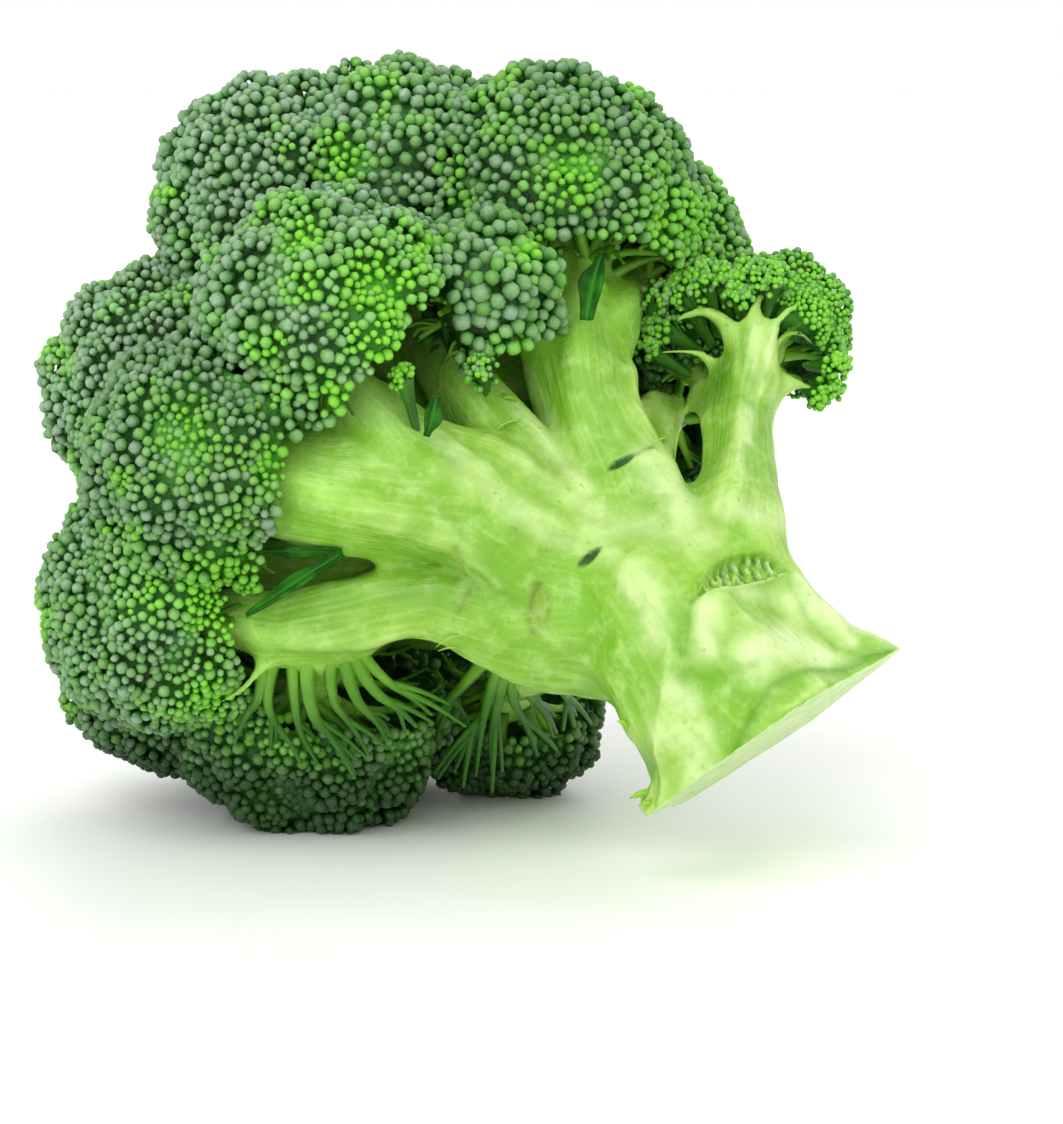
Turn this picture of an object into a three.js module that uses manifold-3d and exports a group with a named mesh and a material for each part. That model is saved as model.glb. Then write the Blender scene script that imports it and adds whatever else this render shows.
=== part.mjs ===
// A broccoli head as cut and laid on a table: one branching stalk, a bud-covered floret on each
// branch, and a few small leaves left in the forks. Millimetres, +Z up, the table is z = 0.
// The head lies on its side: the crown points left, up and back, and the cut stem points right and front.
import * as THREE from "three";
import { mergeVertices } from "three/addons/utils/BufferGeometryUtils.js";
import { ConvexHull } from "three/addons/math/ConvexHull.js";
import Module from "manifold-3d";

const wasm = await Module();
wasm.setup();

// Driving dimensions
const NODE_GAP = 0.3; // free gap between two pieces that touch
const BUD_PITCH = 9.6; // spacing of the raised buds, about three times life size
const BUD_HEIGHT = 2.2; // a bud's top above the pits round it
const UNDERSIDE_POINTS = 11; // corners of a floret's plain underside
const LUMP_HEIGHT = 1.1; // broad unevenness of a floret's surface
const CAP_THICKNESS = 0.55; // a floret's thickness over its branch, as a share of its radius
const TWIG_GAP = 1.2; // how far a twig's end stays from the floret's underside
const REST_LEVEL = 0; // the table

const STALK_GREEN = new THREE.Color("#9fcf5a");
const BUD_GREEN = new THREE.Color("#3f7a3a");
const LEAF_GREEN = new THREE.Color("#1f6a2a");

// The crown's hub, where the branches part from the stem
const HUB = new THREE.Vector3(36, -27, 60);

// Florets: middle and radius of the round bud surface, skirt = how far it wraps past its middle
// towards the stalk (share of the radius), out = the way it faces if not straight from the hub,
// twigs = how many twigs fan out under it.
const FLORETS = [
  { name: "floret_top_1", at: [-24, 12, 118], radius: 28, skirt: 0.35, twigs: 0 },
  { name: "floret_top_2", at: [-2, 13, 122], radius: 30, skirt: 0.6, twigs: 0 },
  { name: "floret_top_3", at: [31, 6, 118], radius: 31, skirt: 0.55, twigs: 4 },
  { name: "floret_top_4", at: [46, 19, 110], radius: 25, skirt: 0.5, twigs: 3 },
  { name: "floret_front_1", at: [-12, -33, 101], radius: 27, skirt: 0.42, twigs: 2 },
  { name: "floret_front_2", at: [16, -26, 106], radius: 17, skirt: 0.7, twigs: 2 },
  { name: "floret_front_3", at: [-32, -36, 76], radius: 27, skirt: 0.38, twigs: 2 },
  { name: "floret_left_1", at: [-46, 3, 86], radius: 26, skirt: 0.35, twigs: 0 },
  { name: "floret_left_2", at: [-43, -26, 48], radius: 26, skirt: 0.5, twigs: 4 },
  { name: "floret_left_3", at: [-46, 8, 36], radius: 26, skirt: 0.45, twigs: 0 },
  { name: "floret_bottom_1", at: [-18, -4, 25], radius: 30, skirt: 0.25, twigs: 7, out: [-0.3, 0.25, -0.9] },
  { name: "floret_bottom_2", at: [21, 20, 18], radius: 20.5, skirt: 0.3, twigs: 6, out: [-0.1, 0.45, -0.8] },
  { name: "floret_side_1", at: [76, 10, 98], radius: 15.5, skirt: 0.6, twigs: 5, out: [0.3, 0.5, 0.75] },
  { name: "floret_side_2", at: [59, 10, 92], radius: 12, skirt: 0.4, twigs: 3, out: [-0.1, 0.4, 0.9] },
  { name: "floret_side_3", at: [54, 32, 80], radius: 19, skirt: 0.5, twigs: 2, out: [0.35, 0.9, 0.1] },
  { name: "floret_back_1", at: [-15, 46, 95], radius: 28, skirt: 0.35, twigs: 0 },
  { name: "floret_back_2", at: [18, 46, 104], radius: 28, skirt: 0.35, twigs: 0 },
  { name: "floret_back_3", at: [-34, 41, 62], radius: 28, skirt: 0.35, twigs: 0 },
  { name: "floret_back_4", at: [-14, 38, 26], radius: 27, skirt: 0.35, twigs: 0 },
  { name: "floret_back_5", at: [26, 52, 62], radius: 25, skirt: 0.35, twigs: 0 },
];

// Branches of the stalk: the floret that each one carries, its path from root to tip, and its
// radius at each point. Those inside the crown are plainer.
const BRANCHES = [
  {
    to: "floret_front_3",
    path: [[46, -36, 55], [26, -39, 59], [14, -42, 67], [1, -45, 69], [-11, -45, 71], [-18, -41, 73]],
    radius: [17, 13, 11.5, 11, 10, 8],
  },
  {
    to: "floret_front_1",
    path: [[40, -34, 60], [26, -38, 62], [15, -41, 71], [3, -42, 77], [-4, -39, 84], [-9, -35, 88]],
    radius: [15, 13, 11, 9, 8, 7],
  },
  {
    to: "floret_left_2",
    path: [[44, -38, 46], [23, -41, 45], [7, -42, 50], [-9, -41, 47], [-19, -40, 44], [-26, -36, 44]],
    radius: [15, 10, 7.5, 9, 9, 7],
  },
  { to: "floret_bottom_1", path: [[-6, -41, 47], [-14, -36, 38], [-17, -27, 31]], radius: [9, 8, 6.5] },
  {
    to: "floret_top_3",
    path: [[48, -40, 56], [42, -36, 67], [40, -30, 76], [37, -23, 85], [34, -16, 94], [35, -6, 104]],
    radius: [19, 15, 12, 11, 10.5, 9],
  },
  { to: "floret_top_4", path: [[38, -14, 96], [43, -4, 102], [46, 6, 105]], radius: [8, 6.5, 5] },
  { to: "floret_front_2", path: [[35, -17, 93], [29, -18, 99], [24, -18, 102]], radius: [8, 6.5, 5] },
  { to: "floret_top_2", path: [[40, -32, 60], [30, -27, 69], [23, -18, 75], [10, -4, 88], [3, 6, 104]], radius: [13, 10, 7.5, 6, 5] },
  {
    to: "floret_side_1",
    path: [[60, -46, 48], [64, -41, 63], [66, -29, 73], [67, -15, 82], [70, -2, 90]],
    radius: [14, 10, 7, 6.7, 6],
  },
  { to: "floret_side_2", path: [[67, -16, 80], [63, -6, 84], [60, 1, 86]], radius: [5.5, 4.5, 3.5] },
  { to: "floret_side_3", path: [[46, -22, 72], [50, -4, 80], [53, 12, 80]], radius: [8, 6, 4.5] },
  { to: "floret_bottom_2", path: [[42, -37, 46], [32, -33, 41], [26, -18, 34], [22, -4, 28]], radius: [14, 10, 7.5, 5.5] },
  { to: "floret_top_1", path: [[36, -26, 62], [12, -10, 80], [-9, 3, 100]], radius: [12, 8, 5], plain: true },
  { to: "floret_left_1", path: [[36, -28, 60], [4, -14, 70], [-28, -4, 80]], radius: [12, 8, 5], plain: true },
  { to: "floret_left_3", path: [[36, -30, 54], [4, -14, 48], [-26, 2, 41]], radius: [12, 8, 5], plain: true },
  { to: "floret_back_1", path: [[38, -24, 62], [14, 8, 76], [-4, 32, 88]], radius: [12, 8, 5], plain: true },
  { to: "floret_back_2", path: [[42, -24, 62], [34, 6, 80], [24, 32, 94]], radius: [12, 8, 5], plain: true },
  { to: "floret_back_3", path: [[38, -26, 58], [8, 6, 60], [-18, 28, 62]], radius: [12, 8, 5], plain: true },
  { to: "floret_back_4", path: [[40, -28, 52], [16, 2, 42], [-4, 24, 34]], radius: [12, 8, 5], plain: true },
  { to: "floret_back_5", path: [[44, -26, 56], [34, 6, 58], [28, 34, 61]], radius: [12, 8, 5], plain: true },
];

// The main stem, from past the cut end up to the hub
const STEM_PATH = [[85, -63, 12], [70, -53, 26], [61, -50, 37], [54, -44, 48], [45, -36, 57], [38, -26, 63]];
const STEM_RADIUS = [33, 27, 22, 20, 18, 13];
const STEM_RIBS = 5;
const STEM_RIB_HEIGHT = 0.16; // at the cut end, as a share of the radius; it fades towards the hub
const STEM_RIB_TURN = 0.5; // radians

// The knife cut across the stem's end
const CUT_POINT = new THREE.Vector3(73, -50, 26);
const CUT_OUTWARD = new THREE.Vector3(0.55, -0.26, -0.79).normalize();

// The scar where a big leaf was cut from the stem: a shallow hollow, as wide as the leaf's base
const SCAR_POINT = new THREE.Vector3(64.5, -57, 57.5);
const SCAR_LONG = new THREE.Vector3(0.95, 0.1, 0.3);
const SCAR_OUTWARD = new THREE.Vector3(0.2, -0.85, 0.5);
const SCAR_SIZE = [8, 4, 3]; // half length, half width, half depth

// Leaves: path along the rib, half width at the widest point, and the way the blade faces
const LEAVES = [
  { name: "leaf_1", path: [[-9, -50, 60], [-17, -51, 55], [-27, -48, 48]], halfWidth: 2.6, face: [0.2, -0.75, 0.6] },
  { name: "leaf_2", path: [[7, -50, 91], [8, -52, 87], [7, -54, 82]], halfWidth: 2, face: [0, -1, 0.3] },
  { name: "leaf_3", path: [[37, -29, 102], [38, -26, 108], [40, -20, 114]], halfWidth: 3, face: [0, -1, 0.4] },
];
const LEAF_THICKNESS = 0.9;

const vector = (p) => new THREE.Vector3(...p);

// A closed geometry as a solid that can be cut and joined
function solidOf(geometry) {
  const bare = geometry.clone();
  bare.deleteAttribute("normal");
  bare.deleteAttribute("uv");
  const merged = mergeVertices(bare, 1e-4);
  return new wasm.Manifold(
    new wasm.Mesh({
      numProp: 3,
      vertProperties: merged.attributes.position.array,
      triVerts: new Uint32Array(merged.index.array),
    }),
  );
}

// The largest body of a solid: scraps left by a cut are dropped
function largestOf(solid) {
  return solid.decompose().reduce((a, b) => (a.volume() > b.volume() ? a : b));
}

function meshOf(solid, name, material) {
  const { vertProperties, triVerts, numProp, numVert } = solid.getMesh();
  const position = new Float32Array(numVert * 3);
  for (let i = 0; i < numVert; i++) {
    position.set(vertProperties.subarray(i * numProp, i * numProp + 3), i * 3);
  }
  const geometry = new THREE.BufferGeometry()
    .setAttribute("position", new THREE.BufferAttribute(position, 3))
    .setIndex(new THREE.BufferAttribute(triVerts, 1));
  geometry.computeVertexNormals();
  const mesh = new THREE.Mesh(geometry, material);
  mesh.name = name;
  return mesh;
}

const joined = (solids) => solids.reduce((a, b) => a.add(b));

// A value that runs smoothly through a list of values as t goes from 0 to 1
function along(values, t) {
  const place = t * (values.length - 1);
  const i = Math.min(Math.floor(place), values.length - 2);
  return THREE.MathUtils.lerp(values[i], values[i + 1], place - i);
}

// A cylinder bent along a path. section(t, angle) gives its half width and half height there,
// face the way a flat one faces, and extra how much longer it is made at each end.
function bent(points, sides, steps, section, { face, extra = 0 } = {}) {
  const curve = new THREE.CatmullRomCurve3(points.map(vector), false, "centripetal");
  const frames = curve.computeFrenetFrames(steps, false);
  const geometry = new THREE.CylinderGeometry(1, 1, 1, sides, steps);
  const position = geometry.attributes.position;
  const v = new THREE.Vector3();
  for (let i = 0; i < position.count; i++) {
    v.fromBufferAttribute(position, i);
    const step = Math.round((v.y + 0.5) * steps);
    const tangent = frames.tangents[step];
    const side = face ? tangent.clone().cross(face).normalize() : frames.binormals[step];
    const up = face ? side.clone().cross(tangent).normalize() : frames.normals[step];
    const [a, b] = section(step / steps, Math.atan2(v.z, v.x));
    const centre = curve.getPointAt(step / steps);
    if (step === 0) centre.addScaledVector(tangent, -extra);
    if (step === steps) centre.addScaledVector(tangent, extra);
    centre.addScaledVector(side, v.x * a).addScaledVector(up, v.z * b);
    position.setXYZ(i, centre.x, centre.y, centre.z);
  }
  return geometry;
}

// One branch or twig. swell thickens it, for the hollow that it sits in.
function limb(path, radii, sides, steps, swell) {
  const section = (t) => {
    const r = along(radii, t) + swell;
    return [r, r];
  };
  return solidOf(bent(path, sides, steps, section, { extra: swell }));
}

// The stem, ribbed where leaf bases ran down it, before the knife cut
function stem(swell) {
  const ribbed = (t, angle) => {
    const fade = STEM_RIB_HEIGHT * (1 - t);
    const r = along(STEM_RADIUS, t) * (1 + fade * Math.cos(STEM_RIBS * angle + STEM_RIB_TURN)) + swell;
    return [r, r];
  };
  return solidOf(bent(STEM_PATH, 20, 7, ribbed, { extra: swell }));
}

const outwardOf = (floret) =>
  floret.out ? vector(floret.out).normalize() : vector(floret.at).sub(HUB).normalize();

// Two directions square to a third
function squareTo(axis) {
  const helper = Math.abs(axis.z) < 0.9 ? new THREE.Vector3(0, 0, 1) : new THREE.Vector3(1, 0, 0);
  const a = helper.cross(axis).normalize();
  return [a, axis.clone().cross(a)];
}

// The tip of the branch that carries a floret, where its twigs part
const forkOf = (floret) => vector(BRANCHES.find((branch) => branch.to === floret.name).path.at(-1));

// Twigs that fan like umbrella ribs from the fork below a floret to its hollow underside
function twigs(floret, swell) {
  const { radius, skirt } = floret;
  const out = outwardOf(floret);
  const [a, b] = squareTo(out);
  const middle = vector(floret.at);
  const fork = forkOf(floret);
  const slope = (1 - CAP_THICKNESS + skirt) / Math.sqrt(1 - skirt ** 2);
  return Array.from({ length: floret.twigs }, (_, i) => {
    const turn = ((i + 0.5) / floret.twigs) * 2 * Math.PI;
    const spread = THREE.MathUtils.degToRad(i % 2 ? 92 : 76);
    const reach = (radius * (1 - CAP_THICKNESS)) / (Math.cos(spread) + Math.sin(spread) * slope) - TWIG_GAP;
    const sideways = a.clone().multiplyScalar(Math.cos(turn)).addScaledVector(b, Math.sin(turn));
    const tip = middle
      .clone()
      .addScaledVector(out, Math.cos(spread) * reach)
      .addScaledVector(sideways, Math.sin(spread) * reach);
    const knee = fork.clone().lerp(tip, 0.5).addScaledVector(out, 0.06 * radius);
    const path = [fork, knee, tip].map((p) => p.toArray());
    return limb(path, [0.13 * radius, 0.1 * radius, 0.075 * radius], 4, 2, swell);
  });
}

// The middle twig, which holds the floret and runs on into it
function leader(floret, swell) {
  const end = vector(floret.at).addScaledVector(outwardOf(floret), 0.45 * floret.radius);
  const path = [forkOf(floret).toArray(), end.toArray()];
  return limb(path, [0.24 * floret.radius, 0.12 * floret.radius], 6, 1, swell);
}

function scar() {
  const across = SCAR_OUTWARD.clone().cross(SCAR_LONG).normalize();
  const long = across.clone().cross(SCAR_OUTWARD).normalize();
  const ball = new THREE.SphereGeometry(1, 10, 6).scale(...SCAR_SIZE);
  ball.applyMatrix4(new THREE.Matrix4().makeBasis(long, across, SCAR_OUTWARD.clone().normalize()));
  return solidOf(ball.translate(...SCAR_POINT.toArray()));
}

function stalk(swell) {
  const branches = BRANCHES.map(({ path, radius, plain }) =>
    plain ? limb(path, radius, 6, 3, swell) : limb(path, radius, 8, path.length - 1, swell),
  );
  const fans = FLORETS.flatMap((floret) => [leader(floret, swell), ...twigs(floret, swell)]);
  return joined([stem(swell), ...branches, ...fans])
    .subtract(scar())
    .trimByPlane(CUT_OUTWARD.clone().negate().toArray(), -CUT_OUTWARD.dot(CUT_POINT) - swell)
    .trimByPlane([0, 0, 1], REST_LEVEL);
}

// Points over a sphere: close together on the bud-covered part round the direction +Z, down to
// z = -skirt, and far apart on the underside. A small seeded push keeps a spiral from showing.
function spread(radius, skirt, seed) {
  const capArea = 2 * Math.PI * radius ** 2 * (1 + skirt);
  const capCount = Math.round(capArea / (0.866 * BUD_PITCH ** 2));
  const golden = Math.PI * (3 - Math.sqrt(5));
  let state = seed;
  const random = () => {
    state = (state * 16807) % 2147483647;
    return state / 2147483647 - 0.5;
  };
  const push = (0.35 * BUD_PITCH) / radius;
  return Array.from({ length: capCount + UNDERSIDE_POINTS }, (_, i) => {
    const below = i - capCount;
    const z =
      below < 0
        ? 1 - ((1 + skirt) * (i + 0.5)) / capCount
        : -skirt - ((1 - skirt) * (below + 0.8)) / UNDERSIDE_POINTS;
    const r = Math.sqrt(1 - z * z);
    const loose = below < 0 ? push : 0;
    return new THREE.Vector3(
      r * Math.cos(i * golden) + loose * random(),
      r * Math.sin(i * golden) + loose * random(),
      z + loose * random(),
    ).normalize();
  });
}

// Broad lumps of a floret, as a height over its sphere in the direction d
const lumps = (d, k) =>
  LUMP_HEIGHT *
  (Math.sin(6 * d.x + k) * Math.cos(5 * d.y + 2 * k) + 0.7 * Math.sin(7 * d.z - k) * Math.cos(6 * d.x - 3 * k));

// A floret before it meets its neighbours: a round cap of raised buds, hollow towards the stalk.
// Each bud is a raised point in its own cell, and the cells meet in pits.
function budCap(floret, index) {
  const { radius, skirt } = floret;
  const rim = radius * Math.sqrt(1 - skirt ** 2);
  const drop = radius * (1 - CAP_THICKNESS + skirt);
  const turn = new THREE.Quaternion().setFromUnitVectors(new THREE.Vector3(0, 0, 1), outwardOf(floret));
  const positions = [];
  const put = (p) => {
    p.applyQuaternion(turn).add(vector(floret.at));
    positions.push(p.x, p.y, p.z);
    return positions.length / 3 - 1;
  };
  const onCap = (d, height) => put(d.clone().multiplyScalar(radius + height + lumps(d, index)));
  const inHollow = (d) => {
    const share = Math.sqrt((1 + d.z) / (1 - skirt));
    const flat = new THREE.Vector3(d.x, d.y, 0).setLength(rim * share);
    return put(flat.setZ((1 - share) * drop - skirt * radius));
  };
  const points = spread(radius, skirt, 1000 + 37 * index);
  const isBud = (d) => d.z > -skirt;
  const indexOf = new Map(points.map((d) => [d, isBud(d) ? onCap(d, 0) : inHollow(d)]));
  const triangles = [];
  for (const face of new ConvexHull().setFromPoints(points).faces) {
    const corners = [0, 1, 2].map((k) => face.getEdge(k).head().point);
    const [a, b, c] = corners.map((d) => indexOf.get(d));
    if (corners.every(isBud)) {
      const pit = corners.reduce((sum, d) => sum.add(d), new THREE.Vector3()).normalize();
      const p = onCap(pit, -BUD_HEIGHT);
      triangles.push(a, b, p, b, c, p, c, a, p);
    } else {
      triangles.push(a, b, c);
    }
  }
  const geometry = new THREE.BufferGeometry()
    .setAttribute("position", new THREE.Float32BufferAttribute(positions, 3))
    .setIndex(triangles);
  return solidOf(geometry);
}

// A floret meets each neighbour on the flat plane where their round surfaces cross
function trimmedByNeighbours(solid, floret) {
  const middle = vector(floret.at);
  for (const other of FLORETS) {
    const towards = vector(other.at).sub(middle);
    const distance = towards.length();
    if (other === floret || distance > floret.radius + other.radius + 5) continue;
    towards.normalize();
    const plane = (distance ** 2 + floret.radius ** 2 - other.radius ** 2) / (2 * distance);
    const offset = towards.dot(middle) + plane - NODE_GAP / 2;
    solid = solid.trimByPlane(towards.clone().negate().toArray(), -offset);
  }
  return solid;
}

function floretSolid(floret, index, room) {
  const cap = trimmedByNeighbours(budCap(floret, index), floret)
    .subtract(room)
    .trimByPlane([0, 0, 1], REST_LEVEL);
  return largestOf(cap);
}

function leafSolid(leaf, room) {
  const blade = bent(
    leaf.path,
    8,
    4,
    (t) => [
      0.5 + leaf.halfWidth * Math.sin(Math.PI * Math.min(0.97, 0.15 + 0.82 * t)),
      LEAF_THICKNESS / 2,
    ],
    { face: vector(leaf.face) },
  );
  return largestOf(solidOf(blade).subtract(room));
}

const stalkMaterial = new THREE.MeshStandardMaterial({ color: STALK_GREEN, roughness: 0.45, metalness: 0 });
const budMaterial = new THREE.MeshStandardMaterial({ color: BUD_GREEN, roughness: 0.7, metalness: 0 });
const leafMaterial = new THREE.MeshStandardMaterial({ color: LEAF_GREEN, roughness: 0.5, metalness: 0 });

const head = new THREE.Group();
const room = stalk(NODE_GAP);
head.add(meshOf(largestOf(stalk(0)), "stalk", stalkMaterial));
FLORETS.forEach((floret, i) => {
  head.add(meshOf(floretSolid(floret, i, room), floret.name, budMaterial));
});
LEAVES.forEach((leaf) => head.add(meshOf(leafSolid(leaf, room), leaf.name, leafMaterial)));

// The origin is on the table, under the middle of the head
const middle = new THREE.Box3().setFromObject(head).getCenter(new THREE.Vector3());
head.position.set(-middle.x, -middle.y, 0);

export default head;
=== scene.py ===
import bpy
import bmesh
import math
import numpy as np
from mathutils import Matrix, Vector
from mathutils.bvhtree import BVHTree


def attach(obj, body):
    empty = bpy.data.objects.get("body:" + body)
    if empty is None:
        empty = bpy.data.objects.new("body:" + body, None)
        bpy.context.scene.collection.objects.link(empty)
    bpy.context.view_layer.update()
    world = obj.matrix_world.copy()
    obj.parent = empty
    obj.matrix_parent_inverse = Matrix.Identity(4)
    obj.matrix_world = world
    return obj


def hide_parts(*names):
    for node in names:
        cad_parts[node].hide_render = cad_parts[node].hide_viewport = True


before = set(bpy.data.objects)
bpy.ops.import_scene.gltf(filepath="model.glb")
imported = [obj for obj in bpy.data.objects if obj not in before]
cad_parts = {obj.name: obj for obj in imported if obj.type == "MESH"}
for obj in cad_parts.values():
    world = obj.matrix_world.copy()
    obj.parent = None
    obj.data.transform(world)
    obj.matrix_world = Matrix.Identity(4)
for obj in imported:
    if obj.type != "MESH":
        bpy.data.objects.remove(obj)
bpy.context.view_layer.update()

# Table and light
# The head lies on a plain white laminate table, under large soft lamps in a white room.
# The viewer stands in front of it and looks a little down on it.

MM = 0.001
SHIFT = np.array([-11.52, 2.35, 0.0])  # from the sketch's zero to the head's own, in mm
VIEWER = np.array([26.3, -696.6, 149.3])  # where the viewer's eye is, in mm from the sketch's zero
LOOK_DOWN = math.radians(8)
PICTURE_SIZE = (1063, 1124)
PIXELS_AT_UNIT = 3500.0  # pixels that one unit across takes at one unit away
SENSOR_HEIGHT = 36  # mm
TABLE_WIDTH = 40  # m, so that its edges are out of sight
ROOM_LIGHT = 0.78  # what the room gives to the head, against 1.0 where it is seen itself


def metres(point):
    """A point of the sketch, in mm, as a place in metres."""
    return Vector((np.array(point, dtype=float) + SHIFT) * MM)


def unit(v):
    v = np.asarray(v, dtype=float)
    return v / np.maximum(np.linalg.norm(v, axis=-1, keepdims=True), 1e-12)


LOOK_RIGHT = np.array([1.0, 0.0, 0.0])
LOOK_UP = np.array([0.0, math.sin(LOOK_DOWN), math.cos(LOOK_DOWN)])
LOOK_AHEAD = np.array([0.0, math.cos(LOOK_DOWN), -math.sin(LOOK_DOWN)])


def in_picture(points):
    """Where points of the sketch show in the picture, as an array of pixels."""
    off = np.atleast_2d(points) - VIEWER
    away = off @ LOOK_AHEAD
    across = PICTURE_SIZE[0] / 2 + PIXELS_AT_UNIT * (off @ LOOK_RIGHT) / away
    down = PICTURE_SIZE[1] / 2 - PIXELS_AT_UNIT * (off @ LOOK_UP) / away
    return np.column_stack([across, down])


def sight_line(pixel):
    """The direction from the viewer's eye through a pixel of the picture."""
    across = (pixel[0] - PICTURE_SIZE[0] / 2) / PIXELS_AT_UNIT
    up = (PICTURE_SIZE[1] / 2 - pixel[1]) / PIXELS_AT_UNIT
    return unit(LOOK_AHEAD + across * LOOK_RIGHT + up * LOOK_UP)


def linear(hex_colour):
    parts = [int(hex_colour[i : i + 2], 16) / 255 for i in (1, 3, 5)]
    return tuple(p / 12.92 if p <= 0.04045 else ((p + 0.055) / 1.055) ** 2.4 for p in parts) + (1.0,)


def add_node(tree, kind, inputs=None, **settings):
    """Adds a node. Each input is a value, or another node's output that is linked to it."""
    node = tree.nodes.new(kind)
    for name, value in settings.items():
        setattr(node, name, value)
    for name, value in (inputs or {}).items():
        if isinstance(value, bpy.types.NodeSocket):
            tree.links.new(value, node.inputs[name])
        else:
            node.inputs[name].default_value = value
    return node


def new_material(name):
    material = bpy.data.materials.new(name)
    material.use_nodes = True
    material.node_tree.nodes.clear()
    return material, material.node_tree


def surface(tree, colour, roughness, ior=1.5, normal=None, flesh=None):
    """Ends a material in one skin. Flesh is how light goes under it: share, spread and depth."""
    inputs = {"Base Color": colour, "Roughness": roughness, "IOR": ior}
    if normal is not None:
        inputs["Normal"] = normal
    if flesh is not None:
        inputs.update(zip(("Subsurface Weight", "Subsurface Radius", "Subsurface Scale"), flesh))
    skin = add_node(tree, "ShaderNodeBsdfPrincipled", inputs)
    add_node(tree, "ShaderNodeOutputMaterial", {"Surface": skin.outputs["BSDF"]})


scene = bpy.context.scene
scene.view_settings.view_transform = "Standard"
scene.view_settings.look = "None"

camera_data = bpy.data.cameras.new("camera")
camera_data.sensor_fit = "VERTICAL"
camera_data.sensor_height = SENSOR_HEIGHT
camera_data.lens = SENSOR_HEIGHT * PIXELS_AT_UNIT / PICTURE_SIZE[1]
camera_data.clip_start = 0.01
camera = bpy.data.objects.new("camera", camera_data)
camera.location = metres(VIEWER)
camera.rotation_euler = (math.radians(90) - LOOK_DOWN, 0, 0)
scene.collection.objects.link(camera)
scene.camera = camera

# The room is seen as pure white, and lights the head more softly than that
world = bpy.data.worlds.new("white_room")
world.use_nodes = True
world.node_tree.nodes.clear()
seen = add_node(world.node_tree, "ShaderNodeLightPath").outputs["Is Camera Ray"]
strength = add_node(
    world.node_tree, "ShaderNodeMapRange", {"Value": seen, "To Min": ROOM_LIGHT, "To Max": 1.0}
)
room = add_node(world.node_tree, "ShaderNodeBackground", {"Strength": strength.outputs["Result"]})
room.inputs["Color"].default_value = (1.0, 1.0, 1.0, 1.0)
add_node(world.node_tree, "ShaderNodeOutputWorld", {"Surface": room.outputs["Background"]})
scene.world = world

# Large softboxes far off: the way to each from the head, its strength, and how wide it looks
LAMPS = {
    "softbox_top_left": ((-0.55, -0.7, 0.95), 1.3, 45),
    "softbox_front": ((-0.1, -1.0, 0.12), 1.0, 60),
    "softbox_right": ((0.8, -0.6, 0.5), 0.2, 70),
    "softbox_back": ((0.3, 0.7, 0.8), 0.85, 50),
}
for name, (way, strength, width) in LAMPS.items():
    lamp = bpy.data.lights.new(name, "SUN")
    lamp.energy = strength
    lamp.angle = math.radians(width)
    lamp_object = bpy.data.objects.new(name, lamp)
    lamp_object.location = Vector(way)
    lamp_object.rotation_euler = Vector(way).to_track_quat("Z", "Y").to_euler()
    scene.collection.objects.link(lamp_object)

bpy.ops.object.select_all(action="DESELECT")
bpy.ops.mesh.primitive_plane_add(size=TABLE_WIDTH, location=(0, 0, 0))
floor = bpy.context.object
floor.name = "floor"
# White laminate is smooth and a little glossy, and shows nothing but soft shadows
laminate, tree = new_material("white_laminate")
surface(tree, linear("#fcfdfa"), 0.5, 1.4)
floor.data.materials.append(laminate)

# Stalk
# The thick stem and its branches are one grown piece of pale green flesh under a smooth waxy skin.
# Webs join each branch to its neighbours, and blunt ribs run down the stem to the knife cut.

SKIN_GRAIN = 1.2  # mm, size of the faces in the skin
HUB = np.array([36.0, -27.0, 60.0])  # where the branches meet

CUT_POINT = np.array([73.0, -50.0, 26.0])  # the middle of the knife cut
CUT_OUTWARD = unit([0.55, -0.26, -0.79])
STEM_TOP = np.array([54.0, -44.0, 48.0])  # where the stem begins to part into branches

# The core of the stem, inside the ribs: points in mm, and a radius at each
STEM_CORE = (
    [(85, -63, 12), (70, -53, 26), (61, -50, 37), (54, -44, 48), (45, -36, 57), (38, -26, 63)],
    (28, 23, 20, 19, 17, 13),
)
# Blunt ribs that stand out from it, seen from the front
STEM_RIBS = [
    ([(46, -52, 58), (54, -60, 47), (54, -63, 36), (53, -64, 25), (50, -63, 12)], (7, 6, 6, 6, 7)),
    (
        [(64, -46, 62), (71, -50, 54), (78, -54, 48), (84, -55, 43), (90, -56, 39), (95, -59, 31)],
        (7, 6, 5, 5, 6, 7),
    ),
    ([(58, -62, 52), (64, -66, 46), (72, -68, 38), (79, -72, 28)], (6, 5, 6, 8)),
]
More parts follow.
